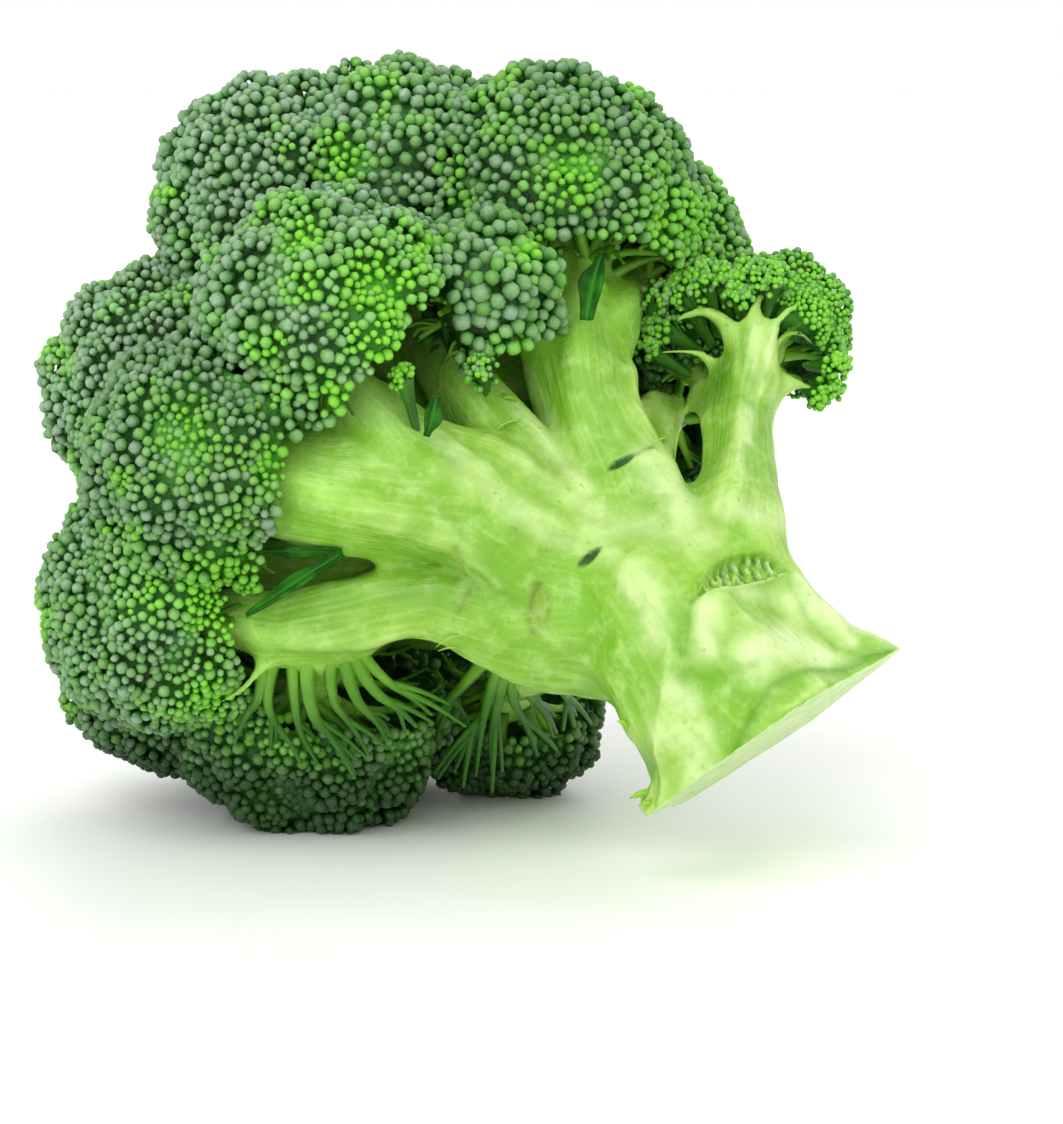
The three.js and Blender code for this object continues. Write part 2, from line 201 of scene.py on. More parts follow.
# Each branch runs to the floret of its name
BRANCHES = {
    "front_3": (
        [(46, -36, 55), (26, -39, 59), (14, -42, 67), (1, -45, 69), (-12, -45, 71), (-29, -40, 74)],
        (17, 13, 11.5, 11, 10.5, 9),
    ),
    "front_1": (
        [(40, -34, 60), (26, -38, 62), (15, -41, 71), (3, -42, 77), (-4, -39, 84), (-9, -35, 88)],
        (15, 13, 11, 9, 8, 7),
    ),
    "left_2": (
        [(44, -38, 46), (23, -41, 45), (7, -42, 50), (-9, -41, 47), (-20, -40, 45), (-33, -35, 46)],
        (15, 10, 7.5, 8, 7, 5.5),
    ),
    "bottom_1": ([(-6, -40, 47), (-13, -36, 40), (-17, -27, 32)], (7, 6.5, 5)),
    "top_3": (
        [(50, -40, 56), (46, -37, 67), (42, -32, 75), (38, -26, 83), (35, -17, 94), (35, -6, 104)],
        (17, 12, 10, 9.6, 10, 9),
    ),
    "top_4": ([(38, -14, 96), (43, -4, 102), (46, 6, 105)], (8, 6.5, 5)),
    "front_2": ([(35, -17, 93), (29, -18, 99), (24, -18, 102)], (8, 6.5, 5)),
    "top_2": (
        [(42, -34, 58), (33, -34, 66), (28, -33, 71), (21, -31, 79)]
        + [(15, -26, 86), (8, -10, 94), (3, 6, 104)],
        (13, 10, 8, 7.5, 7, 6, 5),
    ),
    "side_1": (
        [(60, -46, 48), (64, -41, 63), (66, -29, 73), (67, -15, 82), (70, -2, 90)],
        (14, 10, 7, 6.7, 6),
    ),
    "side_2": ([(67, -16, 80), (63, -6, 84), (60, 1, 86)], (5.5, 4.5, 3.5)),
    "side_3": ([(46, -22, 72), (50, -4, 80), (53, 12, 80)], (8, 6, 4.5)),
    "bottom_2": ([(42, -37, 46), (32, -33, 41), (26, -18, 34), (22, -4, 28)], (14, 10, 7.5, 5.5)),
    "top_1": ([(36, -26, 62), (12, -10, 80), (-9, 3, 100)], (12, 8, 5)),
    "left_1": ([(36, -28, 60), (4, -14, 70), (-28, -4, 80)], (12, 8, 5)),
    "left_3": ([(36, -30, 54), (4, -14, 48), (-26, 2, 41)], (12, 8, 5)),
    "back_1": ([(38, -24, 62), (14, 8, 76), (-4, 32, 88)], (12, 8, 5)),
    "back_2": ([(42, -24, 62), (34, 6, 80), (24, 32, 94)], (12, 8, 5)),
    "back_3": ([(38, -26, 58), (8, 6, 60), (-18, 28, 62)], (12, 8, 5)),
    "back_4": ([(40, -28, 52), (16, 2, 42), (-4, 24, 34)], (12, 8, 5)),
    "back_5": ([(44, -26, 56), (34, 6, 58), (28, 34, 61)], (12, 8, 5)),
    # limbs inside the head, which close the view through it
    "inner_left": ([(15, -28, 54), (-8, -24, 53), (-28, -16, 51)], (9, 9, 8)),
    "inner_top": ([(12, -6, 86), (24, 0, 88), (34, 2, 94)], (6, 7, 6)),
}
# Each floret: middle and radius in mm, how far its buds wrap under it as a share of the radius,
# the size of its buds in mm, how much grey bloom they have, and the way it faces if that isn't
# straight out from the hub
FLORETS = {
    "top_1": ((-23, 12, 121), 28, 0.35, 2.5, 1.0, None),
    "top_2": ((-2, 13, 122), 30, 0.6, 2.7, 0.7, None),
    "top_3": ((30, 6, 120), 31, 0.55, 2.7, 0.55, None),
    "top_4": ((46, 19, 110), 25, 0.5, 2.4, 0.5, None),
    "front_1": ((-12, -33, 101), 27, 0.34, 2.6, 0.8, None),
    "front_2": ((16, -26, 106), 17, 0.7, 3.3, 0.6, None),
    "front_3": ((-32, -36, 76), 27, 0.38, 2.4, 0.85, None),
    "left_1": ((-46, 3, 86), 26, 0.35, 2.3, 1.0, None),
    "left_2": ((-43, -26, 48), 26, 0.5, 2.2, 0.6, None),
    "left_3": ((-46, 8, 33), 26, 0.45, 2.3, 0.7, None),
    "bottom_1": ((-18, -4, 25), 30, 0.25, 2.4, 0.45, (-0.3, 0.25, -0.9)),
    "bottom_2": ((21, 20, 18), 20.5, 0.3, 2.4, 0.3, (-0.1, 0.45, -0.8)),
    "side_1": ((76, 10, 98), 15.5, 0.34, 1.7, 0.25, (0.5, 0.6, 0.6)),
    "side_2": ((59, 10, 92), 12, 0.4, 1.8, 0.1, (-0.1, 0.4, 0.9)),
    "side_3": ((54, 32, 80), 19, 0.5, 2.1, 0.2, (0.35, 0.9, 0.1)),
    "back_1": ((-15, 46, 95), 28, 0.35, 2.85, 0.8, None),
    "back_2": ((18, 46, 104), 28, 0.35, 2.85, 0.8, None),
    "back_3": ((-34, 41, 62), 28, 0.35, 2.85, 0.8, None),
    "back_4": ((-14, 38, 26), 27, 0.35, 2.85, 0.7, None),
    "back_5": ((26, 52, 62), 25, 0.35, 2.85, 0.7, None),
}
middle_of = {name: np.array(f[0], dtype=float) for name, f in FLORETS.items()}
radius_of = {name: float(f[1]) for name, f in FLORETS.items()}
skirt_of = {name: f[2] for name, f in FLORETS.items()}
bud_size_of = {name: f[3] for name, f in FLORETS.items()}
bloom_of = {name: f[4] for name, f in FLORETS.items()}
out_of = {name: unit(f[5]) if f[5] else unit(np.array(f[0]) - HUB) for name, f in FLORETS.items()}
fork_of = {name: np.array(BRANCHES[name][0][-1], dtype=float) for name in FLORETS}

CLUSTER_PITCH = 10.5  # mm, between the small clusters that make up a floret
# Shares of a branch's own radius
FLUTE_SHARE = 0.4  # radius of the ribs along it
FLUTE_OFFSET = 0.7  # how far from its middle they run
FLESH_SHARE = 0.9  # radius of the flesh between them
BOUGH_PITCH = 0.62  # between the ends of a fork's limbs, as a share of the floret's radius
# How often the skin is evened out: at first, while webs form, after that, and to find the relief
EVEN_PASSES, WEB_PASSES, LAST_PASSES, RELIEF_PASSES = 8, 22, 3, 24
# the tint paints ridges paler, partly pale flesh and partly painted highlight, and hollows darker as
# painted shade
BULGE_GAIN = 28  # from a corner's height over its neighbours, in mm, to a tint
SKIN_OVER_TABLE = 0.05  # mm, the least height of the skin
BOUGH_SEED = 50


def spread_over(name, pitch, seed, tries, lowest):
    """Directions from a floret's middle to points over its dome, no nearer to each other than pitch."""
    draw = np.random.default_rng(seed)
    directions = unit(draw.normal(size=(tries, 3)))
    directions = directions[directions @ out_of[name] > lowest]
    kept = np.zeros((0, 3))
    for direction in directions:
        if len(kept) == 0 or (np.linalg.norm(kept - direction, axis=1) * radius_of[name]).min() > pitch:
            kept = np.vstack([kept, direction])
    return kept


clusters_of = {
    name: spread_over(name, CLUSTER_PITCH, seed, 900, -skirt_of[name] - 0.1)
    for seed, name in enumerate(FLORETS)
}
boughs_of = {}


def boughs(name):
    """Short thick limbs into which a branch parts at its fork. The stalklets grow out of their ends."""
    middle, radius, out, fork = middle_of[name], radius_of[name], out_of[name], fork_of[name]
    last = BRANCHES[name][1][-1]
    grown = []
    for direction in spread_over(name, BOUGH_PITCH * radius, BOUGH_SEED, 300, -skirt_of[name]):
        tip = middle + direction * (radius - 5)
        reach = np.linalg.norm(tip - fork)
        rise = unit(middle + 0.3 * radius * out - fork)
        end = fork + 0.42 * (tip - fork) + 0.1 * reach * rise
        knee = fork + 0.2 * (tip - fork) + 0.08 * reach * rise
        grown.append(([fork, knee, end], (0.5 * last, 0.34 * last, max(1.2, 0.2 * last))))
    boughs_of[name] = grown
    return grown


def flutes(points, radii):
    """Ribs that wind along a branch just inside its skin, so that flat sides lie between them."""
    points = np.array(points, dtype=float)
    ribs = []
    for k in range(4):
        line = []
        for i, (point, radius) in enumerate(zip(points, radii)):
            ahead = unit(points[min(i + 1, len(points) - 1)] - points[max(i - 1, 0)])
            side = unit(np.cross(ahead, [0.1, -1.0, 0.2]))
            turn = math.pi * k / 2 + 0.3 * i + points[-1][0] * 0.1
            aside = math.cos(turn) * side + math.sin(turn) * np.cross(ahead, side)
            line.append(point + FLUTE_OFFSET * radius * aside)
        ribs.append((line, [FLUTE_SHARE * radius for radius in radii]))
    return ribs


def select_only(*objects):
    """Selects these objects alone. The last one is the active one."""
    bpy.ops.object.select_all(action="DESELECT")
    for chosen in objects:
        chosen.select_set(True)
    bpy.context.view_layer.objects.active = objects[-1]


def cut_off(thing, point, way):
    """Cuts off what lies past a point of the sketch in this direction, and closes the cut."""
    select_only(thing)
    bpy.ops.object.mode_set(mode="EDIT")
    bpy.ops.mesh.select_all(action="SELECT")
    bpy.ops.mesh.bisect(
        plane_co=metres(point), plane_no=Vector(way), use_fill=True, clear_outer=True
    )
    bpy.ops.object.mode_set(mode="OBJECT")


def tubes(name, limbs, sides, steps):
    """Round limbs along smooth lines as one mesh object. Points and radii are in mm."""
    curve = bpy.data.curves.new(name, "CURVE")
    curve.dimensions = "3D"
    curve.bevel_depth = MM
    curve.bevel_resolution = sides
    curve.resolution_u = steps
    curve.use_fill_caps = True
    for points, radii in limbs:
        spline = curve.splines.new("BEZIER")
        spline.bezier_points.add(len(points) - 1)
        for knot, point, radius in zip(spline.bezier_points, points, radii):
            knot.co = metres(point)
            knot.radius = radius
            knot.handle_left_type = knot.handle_right_type = "AUTO"
    made = bpy.data.objects.new(name, curve)
    scene.collection.objects.link(made)
    select_only(made)
    bpy.ops.object.convert(target="MESH")
    return bpy.context.object


def copy_of(node, name):
    """A copy of a solid of the frame with its corners merged."""
    made = bpy.data.objects.new(name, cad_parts[node].data.copy())
    scene.collection.objects.link(made)
    bm = bmesh.new()
    bm.from_mesh(made.data)
    bmesh.ops.remove_doubles(bm, verts=bm.verts, dist=0.01 * MM)
    bm.to_mesh(made.data)
    bm.free()
    return made


def at_depth(pixel, y):
    """The point at a pixel of the picture that lies at this y, in mm."""
    way = sight_line(pixel)
    return VIEWER + way * (y - VIEWER[1]) / way[1]


# Ribs that fan out from the forks of the two lowest florets, in front of their hollows: for each
# floret the four depths y in mm along every rib, and the pixels there. The stalk holds their thick
# near ends.
FAN_RIBS = {
    "bottom_1": (
        (-40, -39.5, -36, -33),
        [
            [(264, 648), (260, 694), (250, 711), (238, 725)],
            [(276, 648), (268, 702), (278, 728), (292, 748)],
            [(292, 648), (296, 712), (303, 738), (318, 764)],
            [(306, 648), (314, 716), (335, 740), (356, 760)],
            [(332, 644), (333, 698), (348, 722), (364, 746)],
            [(342, 644), (355, 696), (371, 716), (390, 736)],
            [(347, 644), (374, 690), (399, 709), (416, 726)],
            [(352, 644), (386, 680), (411, 697), (432, 715)],
        ],
    ),
    "bottom_2": (
        (-36, -26, -17, -8),
        [
            [(503, 642), (466, 682), (442, 710), (436, 732)],
            [(506, 642), (490, 701), (470, 738), (454, 772)],
            [(508, 642), (486, 707), (480, 744), (476, 776)],
            [(511, 642), (498, 701), (492, 738), (493, 774)],
            [(515, 642), (513, 698), (525, 722), (534, 747)],
            [(520, 642), (528, 690), (543, 710), (556, 732)],
            [(556, 642), (562, 686), (568, 701), (574, 726)],
        ],
    ),
}
fans_of = {
    name: [[at_depth(p, y) for p, y in zip(pixels, depths)] for pixels in ribs]
    for name, (depths, ribs) in FAN_RIBS.items()
}
# Limbs seen from the front, each as pixels, depths y and radii in mm: the webs and arched ribs at
# the top of the side branch, a torn one at the left, and the pointed corner of flesh under the hub
SEEN_LIMBS = [
    ([(742, 440), (762, 402), (788, 384), (814, 388)], (-18, -14, -9, -4), (5, 3.4, 2.2, 1.0)),
    ([(757, 410), (768, 355), (777, 322), (798, 304)], (-17, -14, -9, -3), (3.6, 2.2, 1.6, 1.2)),
    ([(745, 410), (752, 350), (753, 315), (764, 290)], (-17, -14, -9, -3), (3.6, 2.4, 1.8, 1.3)),
    ([(732, 415), (736, 345), (712, 313), (672, 320)], (-16, -10, -7, -7), (3.6, 2.3, 1.7, 1.2)),
    ([(724, 425), (720, 376), (696, 352), (655, 354)], (-15, -9, -7, -7), (3.6, 2.0, 1.4, 1.1)),
    ([(768, 400), (776, 345), (796, 333), (815, 345)], (-14, -6, -2, 0), (3, 1.5, 1.2, 1.0)),
    ([(742, 405), (744, 365), (728, 330), (706, 300)], (-14, -10, -4, -2), (3.6, 2.6, 1.8, 1.4)),
    ([(275, 650), (250, 682), (232, 697), (216, 703)], (-40, -42, -44, -43), (2.0, 1.4, 1.1, 0.7)),
    ([(545, 632), (498, 634), (468, 642), (452, 652)], (-38, -41, -42, -43), (10, 6, 3, 1.2)),
    ([(520, 600), (490, 615), (466, 634), (452, 652)], (-38, -42, -43, -43), (10, 6, 2.6, 1.2)),
]

limbs = [STEM_CORE] + STEM_RIBS
for pixels, depths, radii in SEEN_LIMBS:
    limbs.append(([at_depth(p, y) for p, y in zip(pixels, depths)], radii))
for line in fans_of["bottom_1"] + fans_of["bottom_2"]:
    limbs.append(([line[0], 0.55 * line[0] + 0.45 * line[1]], (2.0, 1.1)))
for name, (points, radii) in BRANCHES.items():
    limbs.append((points, [FLESH_SHARE * radius for radius in radii]))
    limbs += flutes(points, radii)
    if name in FLORETS:
        limbs += boughs(name)
stalk = tubes("stalk_flesh", limbs, sides=4, steps=8)

# The stem's own ribbed form comes from its solid, without the branches
stem_solid = copy_of("stalk", "stem_solid")
cut_off(stem_solid, STEM_TOP, -CUT_OUTWARD)
select_only(stem_solid, stalk)
bpy.ops.object.join()
remesh = stalk.modifiers.new("skin", "REMESH")
remesh.mode = "VOXEL"
remesh.voxel_size = SKIN_GRAIN * MM
bpy.ops.object.modifier_apply(modifier="skin")


def corners(mesh):
    places = np.empty(len(mesh.vertices) * 3)
    mesh.vertices.foreach_get("co", places)
    return places.reshape(-1, 3) / MM - SHIFT


def neighbours(mesh):
    """The two ends of each edge, and how many neighbours each corner has."""
    ends = np.empty(len(mesh.edges) * 2, dtype=np.int32)
    mesh.edges.foreach_get("vertices", ends)
    ends = ends.reshape(-1, 2)
    return ends, np.maximum(np.bincount(ends.ravel(), minlength=len(mesh.vertices)), 1)


def average(values, ends, count):
    """Each corner's mean over its neighbours, of a number or of a point."""
    columns = values.reshape(len(values), -1)
    total = np.empty_like(columns)
    for k in range(columns.shape[1]):
        total[:, k] = np.bincount(ends[:, 0], columns[ends[:, 1], k], len(values))
        total[:, k] += np.bincount(ends[:, 1], columns[ends[:, 0], k], len(values))
    return (total / count[:, None]).reshape(values.shape)


def outward(mesh, places):
    """Unit normals of a mesh's corners once they are moved to these places."""
    mesh.vertices.foreach_set("co", ((places + SHIFT) * MM).ravel())
    mesh.update()
    normals = np.empty(len(mesh.vertices) * 3, dtype=np.float32)
    mesh.vertex_normals.foreach_get("vector", normals)
    return normals.reshape(-1, 3).astype(float)


def clear_of_crown(places):
    """How far points are from the nearest floret's dome, in mm."""
    gaps = [np.linalg.norm(places - middle_of[n], axis=1) - radius_of[n] for n in FLORETS]
    return np.min(gaps, axis=0)


skin_mesh = stalk.data
place = corners(skin_mesh)
ends, count = neighbours(skin_mesh)
crown_gap = clear_of_crown(place)

# The skin evens out on the thick limbs, and less on the thin ones
ease = np.clip((crown_gap + 8) / 14, 0.1, 1)[:, None]
for i in range(EVEN_PASSES):
    place += 0.5 * ease * (average(place, ends, count) - place)
# Hollows fill into flat sides and webs, while the ribs between them keep their edges
for i in range(WEB_PASSES):
    if i % 3 == 0:
        normal = outward(skin_mesh, place)
    pull = ((average(place, ends, count) - place) * normal).sum(axis=1)
    place += normal * (np.where(pull > 0, 0.7, 0.04) * pull)[:, None]
for i in range(LAST_PASSES):
    place += 0.4 * ease * (average(place, ends, count) - place)

# Ribs and hollows stand out a little more than the limbs alone would give
even = place.copy()
for i in range(RELIEF_PASSES):
    even += 0.5 * (average(even, ends, count) - even)
normal = outward(skin_mesh, place)
relief = np.clip(((place - even) * normal).sum(axis=1), -0.8, 1.0)
place += normal * (0.75 * relief * np.clip(crown_gap / 10, 0, 1))[:, None]

# Growth leaves long shallow swells in the flesh
x, y, z = place.T
swell = 0.4 * np.sin(x * 0.21 + 2 * np.sin(z * 0.13)) * np.sin(z * 0.27 + 1)
swell += 0.3 * np.sin(y * 0.33 + x * 0.4) * np.sin(z * 0.5 - x * 0.2)
place += normal * (swell * np.clip(crown_gap / 12, 0, 1))[:, None]
normal = outward(skin_mesh, place)

# The front carries the finest marks, so its faces are cut into smaller ones
to_viewer = unit(VIEWER - place)
fine = ((normal * to_viewer).sum(axis=1) > 0.1) & (crown_gap > 2) & (place[:, 1] < -18)
bm = bmesh.new()
bm.from_mesh(skin_mesh)
bm.verts.ensure_lookup_table()
inner = [e for e in bm.edges if fine[e.verts[0].index] and fine[e.verts[1].index]]
bmesh.ops.subdivide_edges(bm, edges=inner, cuts=1, use_grid_fill=True)
bm.to_mesh(skin_mesh)
bm.free()
place = corners(skin_mesh)
ends, count = neighbours(skin_mesh)
crown_gap = clear_of_crown(place)
for i in range(4):
    place += 0.4 * (average(place, ends, count) - place)
normal = outward(skin_mesh, place)
bulge = -((average(place, ends, count) - place) * normal).sum(axis=1)
for i in range(16):
    bulge = 0.5 * bulge + 0.5 * average(bulge, ends, count)

# Places where the flesh stands out or in: a pixel, how far it reaches and how it moves, in mm
skin_tree = BVHTree.FromObject(stalk, bpy.context.evaluated_depsgraph_get())
NUDGES = [
    ((634, 796), 8.0, (5.0, 0.0, 0.0)),
    ((636, 758), 6.0, (-2.5, 0.0, 0.0)),
    ((866, 628), 6.0, (0.5, 0.0, 2.2)),
]


def on_skin(pixel):
    """The point of the stalk that shows at a pixel of the picture."""
    hit = skin_tree.ray_cast(metres(VIEWER), Vector(sight_line(pixel)))[0]
    return None if hit is None else np.array(hit) / MM - SHIFT


for pixel, nudge_reach, way in NUDGES:
    centre = on_skin(pixel)
    if centre is not None:
        gap = np.linalg.norm(place - centre, axis=1)
        place += np.exp(-((gap / nudge_reach) ** 2))[:, None] * np.array(way)
normal = outward(skin_mesh, place)

# Marks in the skin, each along a line of pixels: the line, its width in mm, how far it stands out
# in mm, and how much it turns the skin pale, green, dark or brown. Some of the pale is painted
# light and much of the dark is painted shade
PALE, GREEN, DARK, BROWN = range(4)
SOFT_MARKS = [
    # pale flesh along the webs, and painted light: flat sides that face the light painted paler,
    # painted highlights, and paler patches on branches that lie in shade
    ([(430, 436), (500, 500), (560, 540), (612, 556)], 3.0, 0.3, {PALE: 0.6}),
    ([(590, 530), (640, 528), (700, 535)], 5.0, 0.0, {PALE: 0.55}),
    ([(628, 580), (648, 600), (655, 640)], 4.5, 0.2, {PALE: 0.75}),
    ([(645, 455), (672, 490), (690, 520)], 4.5, 0.0, {PALE: 0.7}),
    ([(520, 455), (560, 490), (600, 515)], 3.0, 0.0, {PALE: 0.55}),
    ([(703, 610), (706, 645)], 4.0, 0.3, {PALE: 0.9}),
    ([(756, 655), (790, 640), (815, 655)], 5.5, 0.3, {PALE: 1.0}),
    ([(800, 600), (840, 618), (880, 632)], 5.0, 0.2, {PALE: 0.95}),
    ([(800, 580), (850, 640)], 2.2, 0.0, {PALE: 0.9}),
    ([(725, 585), (800, 600)], 3.0, 0.0, {PALE: 0.6}),
    ([(752, 330), (750, 400), (747, 440)], 1.8, 0.0, {PALE: 0.7}),
    ([(730, 510), (785, 520)], 4.0, 0.0, {PALE: 0.7}),
    ([(672, 690), (690, 705)], 3.5, 0.2, {PALE: 0.9}),
    ([(665, 730), (700, 740), (700, 780)], 5.0, 0.0, {PALE: 0.7}),
    ([(570, 350), (600, 400), (622, 440)], 2.5, 0.0, {PALE: 0.35}),
    ([(300, 455), (345, 470)], 4.0, 0.0, {PALE: 0.5}),
    ([(440, 440), (470, 480)], 3.0, 0.0, {PALE: 0.5}),
    ([(742, 330), (745, 360), (750, 400)], 1.8, -0.6, {GREEN: 1.0}),
    ([(760, 392), (768, 350), (775, 328)], 1.0, 0.3, {PALE: 0.9}),
    ([(757, 392), (756, 355), (755, 320)], 0.8, 0.2, {PALE: 0.5}),
    # painted shade on the shaded left side of the side branch
    ([(713, 340), (720, 372), (717, 400)], 3.2, 0.0, {GREEN: 1.0, DARK: 0.45}),
    # painted light on branches that lie in the shade of the florets above
    ([(515, 405), (545, 440), (585, 490)], 2.2, 0.0, {PALE: 0.75}),
    ([(528, 375), (548, 425), (575, 465)], 3.0, 0.0, {PALE: 0.5}),
    # greener flesh in the hollows and towards the crown
    ([(566, 590), (600, 630), (625, 680)], 8.0, -0.3, {GREEN: 1.0}),
    ([(600, 690), (625, 740), (645, 780)], 5.0, 0.0, {GREEN: 0.7}),
    ([(470, 520), (500, 560), (515, 600)], 4.5, -0.3, {GREEN: 0.9}),
    ([(385, 550), (450, 560)], 3.5, 0.0, {GREEN: 0.8}),
    # painted light on the shaded base of the front branch
    ([(335, 405), (370, 405), (400, 420)], 5.0, 0.0, {PALE: 0.6}),
    ([(585, 390), (600, 430), (612, 455)], 5.0, -0.3, {GREEN: 0.7}),
    ([(478, 398), (510, 432), (550, 480)], 4.5, 0.0, {GREEN: 0.5}),
    # painted shade on the shaded left side of the side branch
    ([(718, 400), (716, 460)], 3.0, 0.0, {GREEN: 0.8, DARK: 0.1}),
    ([(765, 380), (768, 470)], 2.5, 0.0, {GREEN: 0.7}),
    ([(715, 690), (745, 710), (735, 745)], 5.0, 0.0, {GREEN: 0.75}),
    ([(740, 620), (752, 612)], 4.0, 0.0, {GREEN: 0.4}),
    ([(735, 525), (738, 535)], 2.4, -0.2, {GREEN: 0.9}),
    ([(395, 590), (440, 590), (470, 585)], 5.0, 0.0, {GREEN: 0.7, DARK: 0.22}),
    ([(545, 650), (600, 700)], 4.0, 0.0, {GREEN: 0.5}),
    ([(300, 600), (350, 590), (400, 590)], 6.0, 0.0, {GREEN: 0.6, DARK: 0.12}),
    ([(280, 640), (340, 640)], 4.0, 0.0, {GREEN: 0.5}),
    ([(575, 340), (592, 400), (600, 440)], 6.0, 0.0, {GREEN: 0.9}),
    ([(700, 400), (704, 450), (706, 480)], 3.0, 0.0, {GREEN: 0.6, DARK: 0.12}),
    # dry brown scars
    ([(537, 588), (541, 600)], 1.2, -0.4, {BROWN: 0.5}),
    ([(534, 606), (540, 624)], 1.9, -0.5, {BROWN: 0.45}),
    ([(532, 630), (538, 634)], 1.1, -0.3, {BROWN: 0.4}),
    ([(455, 548), (462, 562), (456, 578)], 0.7, -0.3, {BROWN: 0.35}),
]
# These have sharp edges: fold lines, grooves and slits. The dark along the grooves and slits is painted
# shade
SHARP_MARKS = [
    ([(672, 640), (666, 700), (660, 750), (664, 803)], 2.0, 1.6, {PALE: 0.55}),
    ([(796, 581), (818, 612), (846, 648)], 1.4, 0.6, {PALE: 0.6}),
    ([(690, 596), (683, 625), (681, 650), (688, 678)], 1.5, -1.6, {GREEN: 1.0, DARK: 0.06}),
    ([(690, 681), (722, 674), (756, 664)], 1.1, -1.0, {GREEN: 1.0, DARK: 0.06}),
    ([(790, 586), (808, 618), (836, 648)], 0.7, -0.6, {GREEN: 0.8}),
    ([(600, 553), (650, 542), (700, 552)], 1.2, 0.5, {PALE: 0.4}),
    ([(345, 440), (395, 470), (450, 530), (500, 588)], 1.3, 0.7, {PALE: 0.4}),
    ([(395, 566), (450, 574), (505, 596), (530, 612)], 0.8, -0.6, {GREEN: 0.6, DARK: 0.15}),
    ([(420, 418), (470, 455), (520, 500), (575, 535)], 1.3, 0.8, {PALE: 0.35}),
    ([(560, 330), (585, 400), (612, 462)], 1.2, 0.5, {PALE: 0.35}),
    ([(745, 340), (742, 400), (738, 470)], 1.2, 0.5, {PALE: 0.5}),
    ([(540, 632), (590, 668), (625, 735)], 1.2, 0.5, {PALE: 0.3}),
    ([(636, 453), (652, 446), (664, 440)], 0.4, -0.4, {DARK: 0.5}),
    ([(540, 584), (532, 598), (528, 612)], 0.4, -0.5, {BROWN: 1.0, DARK: 0.3}),
    ([(529, 618), (532, 634)], 0.35, -0.4, {BROWN: 0.8, DARK: 0.25}),
    ([(537, 612), (543, 617)], 0.4, 0.5, {PALE: 0.6}),
    ([(546, 592), (550, 604), (547, 622)], 0.3, -0.4, {BROWN: 0.7}),
    ([(470, 590), (464, 600), (458, 614)], 0.35, -0.4, {BROWN: 0.8}),
    ([(484, 432), (505, 424), (519, 420)], 0.3, -0.3, {DARK: 0.5}),
    # the rim of the knife cut, where the blade left the skin
    (
        [(736, 755), (756, 715), (776, 686), (805, 673), (842, 672), (868, 658), (892, 653)],
        1.0,
        0.9,
        {GREEN: 1.0, DARK: 0.4},
    ),
]
skin_tree = BVHTree.FromObject(stalk, bpy.context.evaluated_depsgraph_get())


def gap_to_line(points, line):
    """How far points are from a line of straight stretches."""
    gap = np.full(len(points), 1e9)
    for a, b in zip(line[:-1], line[1:]):
        share = np.clip((points - a) @ (b - a) / max((b - a) @ (b - a), 1e-9), 0, 1)
        gap = np.minimum(gap, np.linalg.norm(points - a - share[:, None] * (b - a), axis=1))
    return gap


tint = np.zeros((4, len(place)))
lift = np.zeros(len(place))


def stain(kind, amount):
    """Brings a tint of the skin up to this amount, where it is weaker."""
    tint[kind] = np.maximum(tint[kind], amount)


for marks, power in ((SOFT_MARKS, 2), (SHARP_MARKS, 1)):
    for pixels, width, height, tints in marks:
        line = [p for p in map(on_skin, pixels) if p is not None]
        if len(line) < 2:
            continue
        share = np.exp(-((gap_to_line(place, line) / width) ** power))
        lift += height * share
        for kind, amount in tints.items():
            stain(kind, np.clip(amount * share, 0, 1))

# Slits where small leaves broke off: the pixels at their ends, half width and depth in mm
for first_pixel, last_pixel, half_width, depth in (
    ((608, 470), (635, 453), 0.95, 1.3),
    ((577, 567), (603, 548), 0.95, 1.2),
):
    a, b = on_skin(first_pixel), on_skin(last_pixel)
    share = (place - a) @ (b - a) / ((b - a) @ (b - a))
    aside = np.linalg.norm(place - a - share[:, None] * (b - a), axis=1)
    round_it = np.hypot(2 * share - 1, aside / half_width)
    lift -= depth * np.clip(1 - round_it, 0, 1)
    # painted shade: the inside of each slit is painted dark
    stain(DARK, np.clip(3.0 * (1.1 - round_it), 0, 0.92))

# The large leaf scar: a torn hollow under an arched lip, with broken fibres that stand in it
SCAR_ENDS = [(698, 598), (788, 572)]
SCAR_TOP = (757, 541)
scar_left, scar_right, scar_top = (on_skin(p) for p in (*SCAR_ENDS, SCAR_TOP))
SCAR_LONG = unit(scar_right - scar_left)
scar_half = np.linalg.norm(scar_right - scar_left) / 2
rise = scar_top - scar_left
rise = rise - (rise @ SCAR_LONG) * SCAR_LONG
scar_height = np.linalg.norm(rise)
SCAR_UP = unit(rise)
SCAR_OUT = unit(np.cross(SCAR_LONG, SCAR_UP))
off = place - (scar_left + scar_right) / 2
along = off @ SCAR_LONG / scar_half
above = off @ SCAR_UP / scar_height
arch = np.clip(1 - along**2, 0, 1) ** 0.6 * (0.85 + 0.25 * along)
near = (np.abs(off @ SCAR_OUT) < 7) & (normal @ to_viewer.mean(axis=0) > 0) & (np.abs(along) < 1.3)
inside = np.clip(above / 0.12, 0, 1) * np.clip((arch - above) / 0.1, 0, 1) * near
fibre = np.sin(along * 31 + 2.2 * np.sin(above * 5)) * 0.5 + 0.5 * np.sin(along * 53 + above * 9 + 1)
lift += inside * (-2.0 + 0.7 * fibre)
lip = np.exp(-(((above - arch) / 0.09) ** 2)) * near * (np.abs(along) < 1)
sill = np.exp(-((above / 0.08) ** 2)) * near * (np.abs(along) < 0.95)
lift += 0.7 * lip + 0.5 * sill
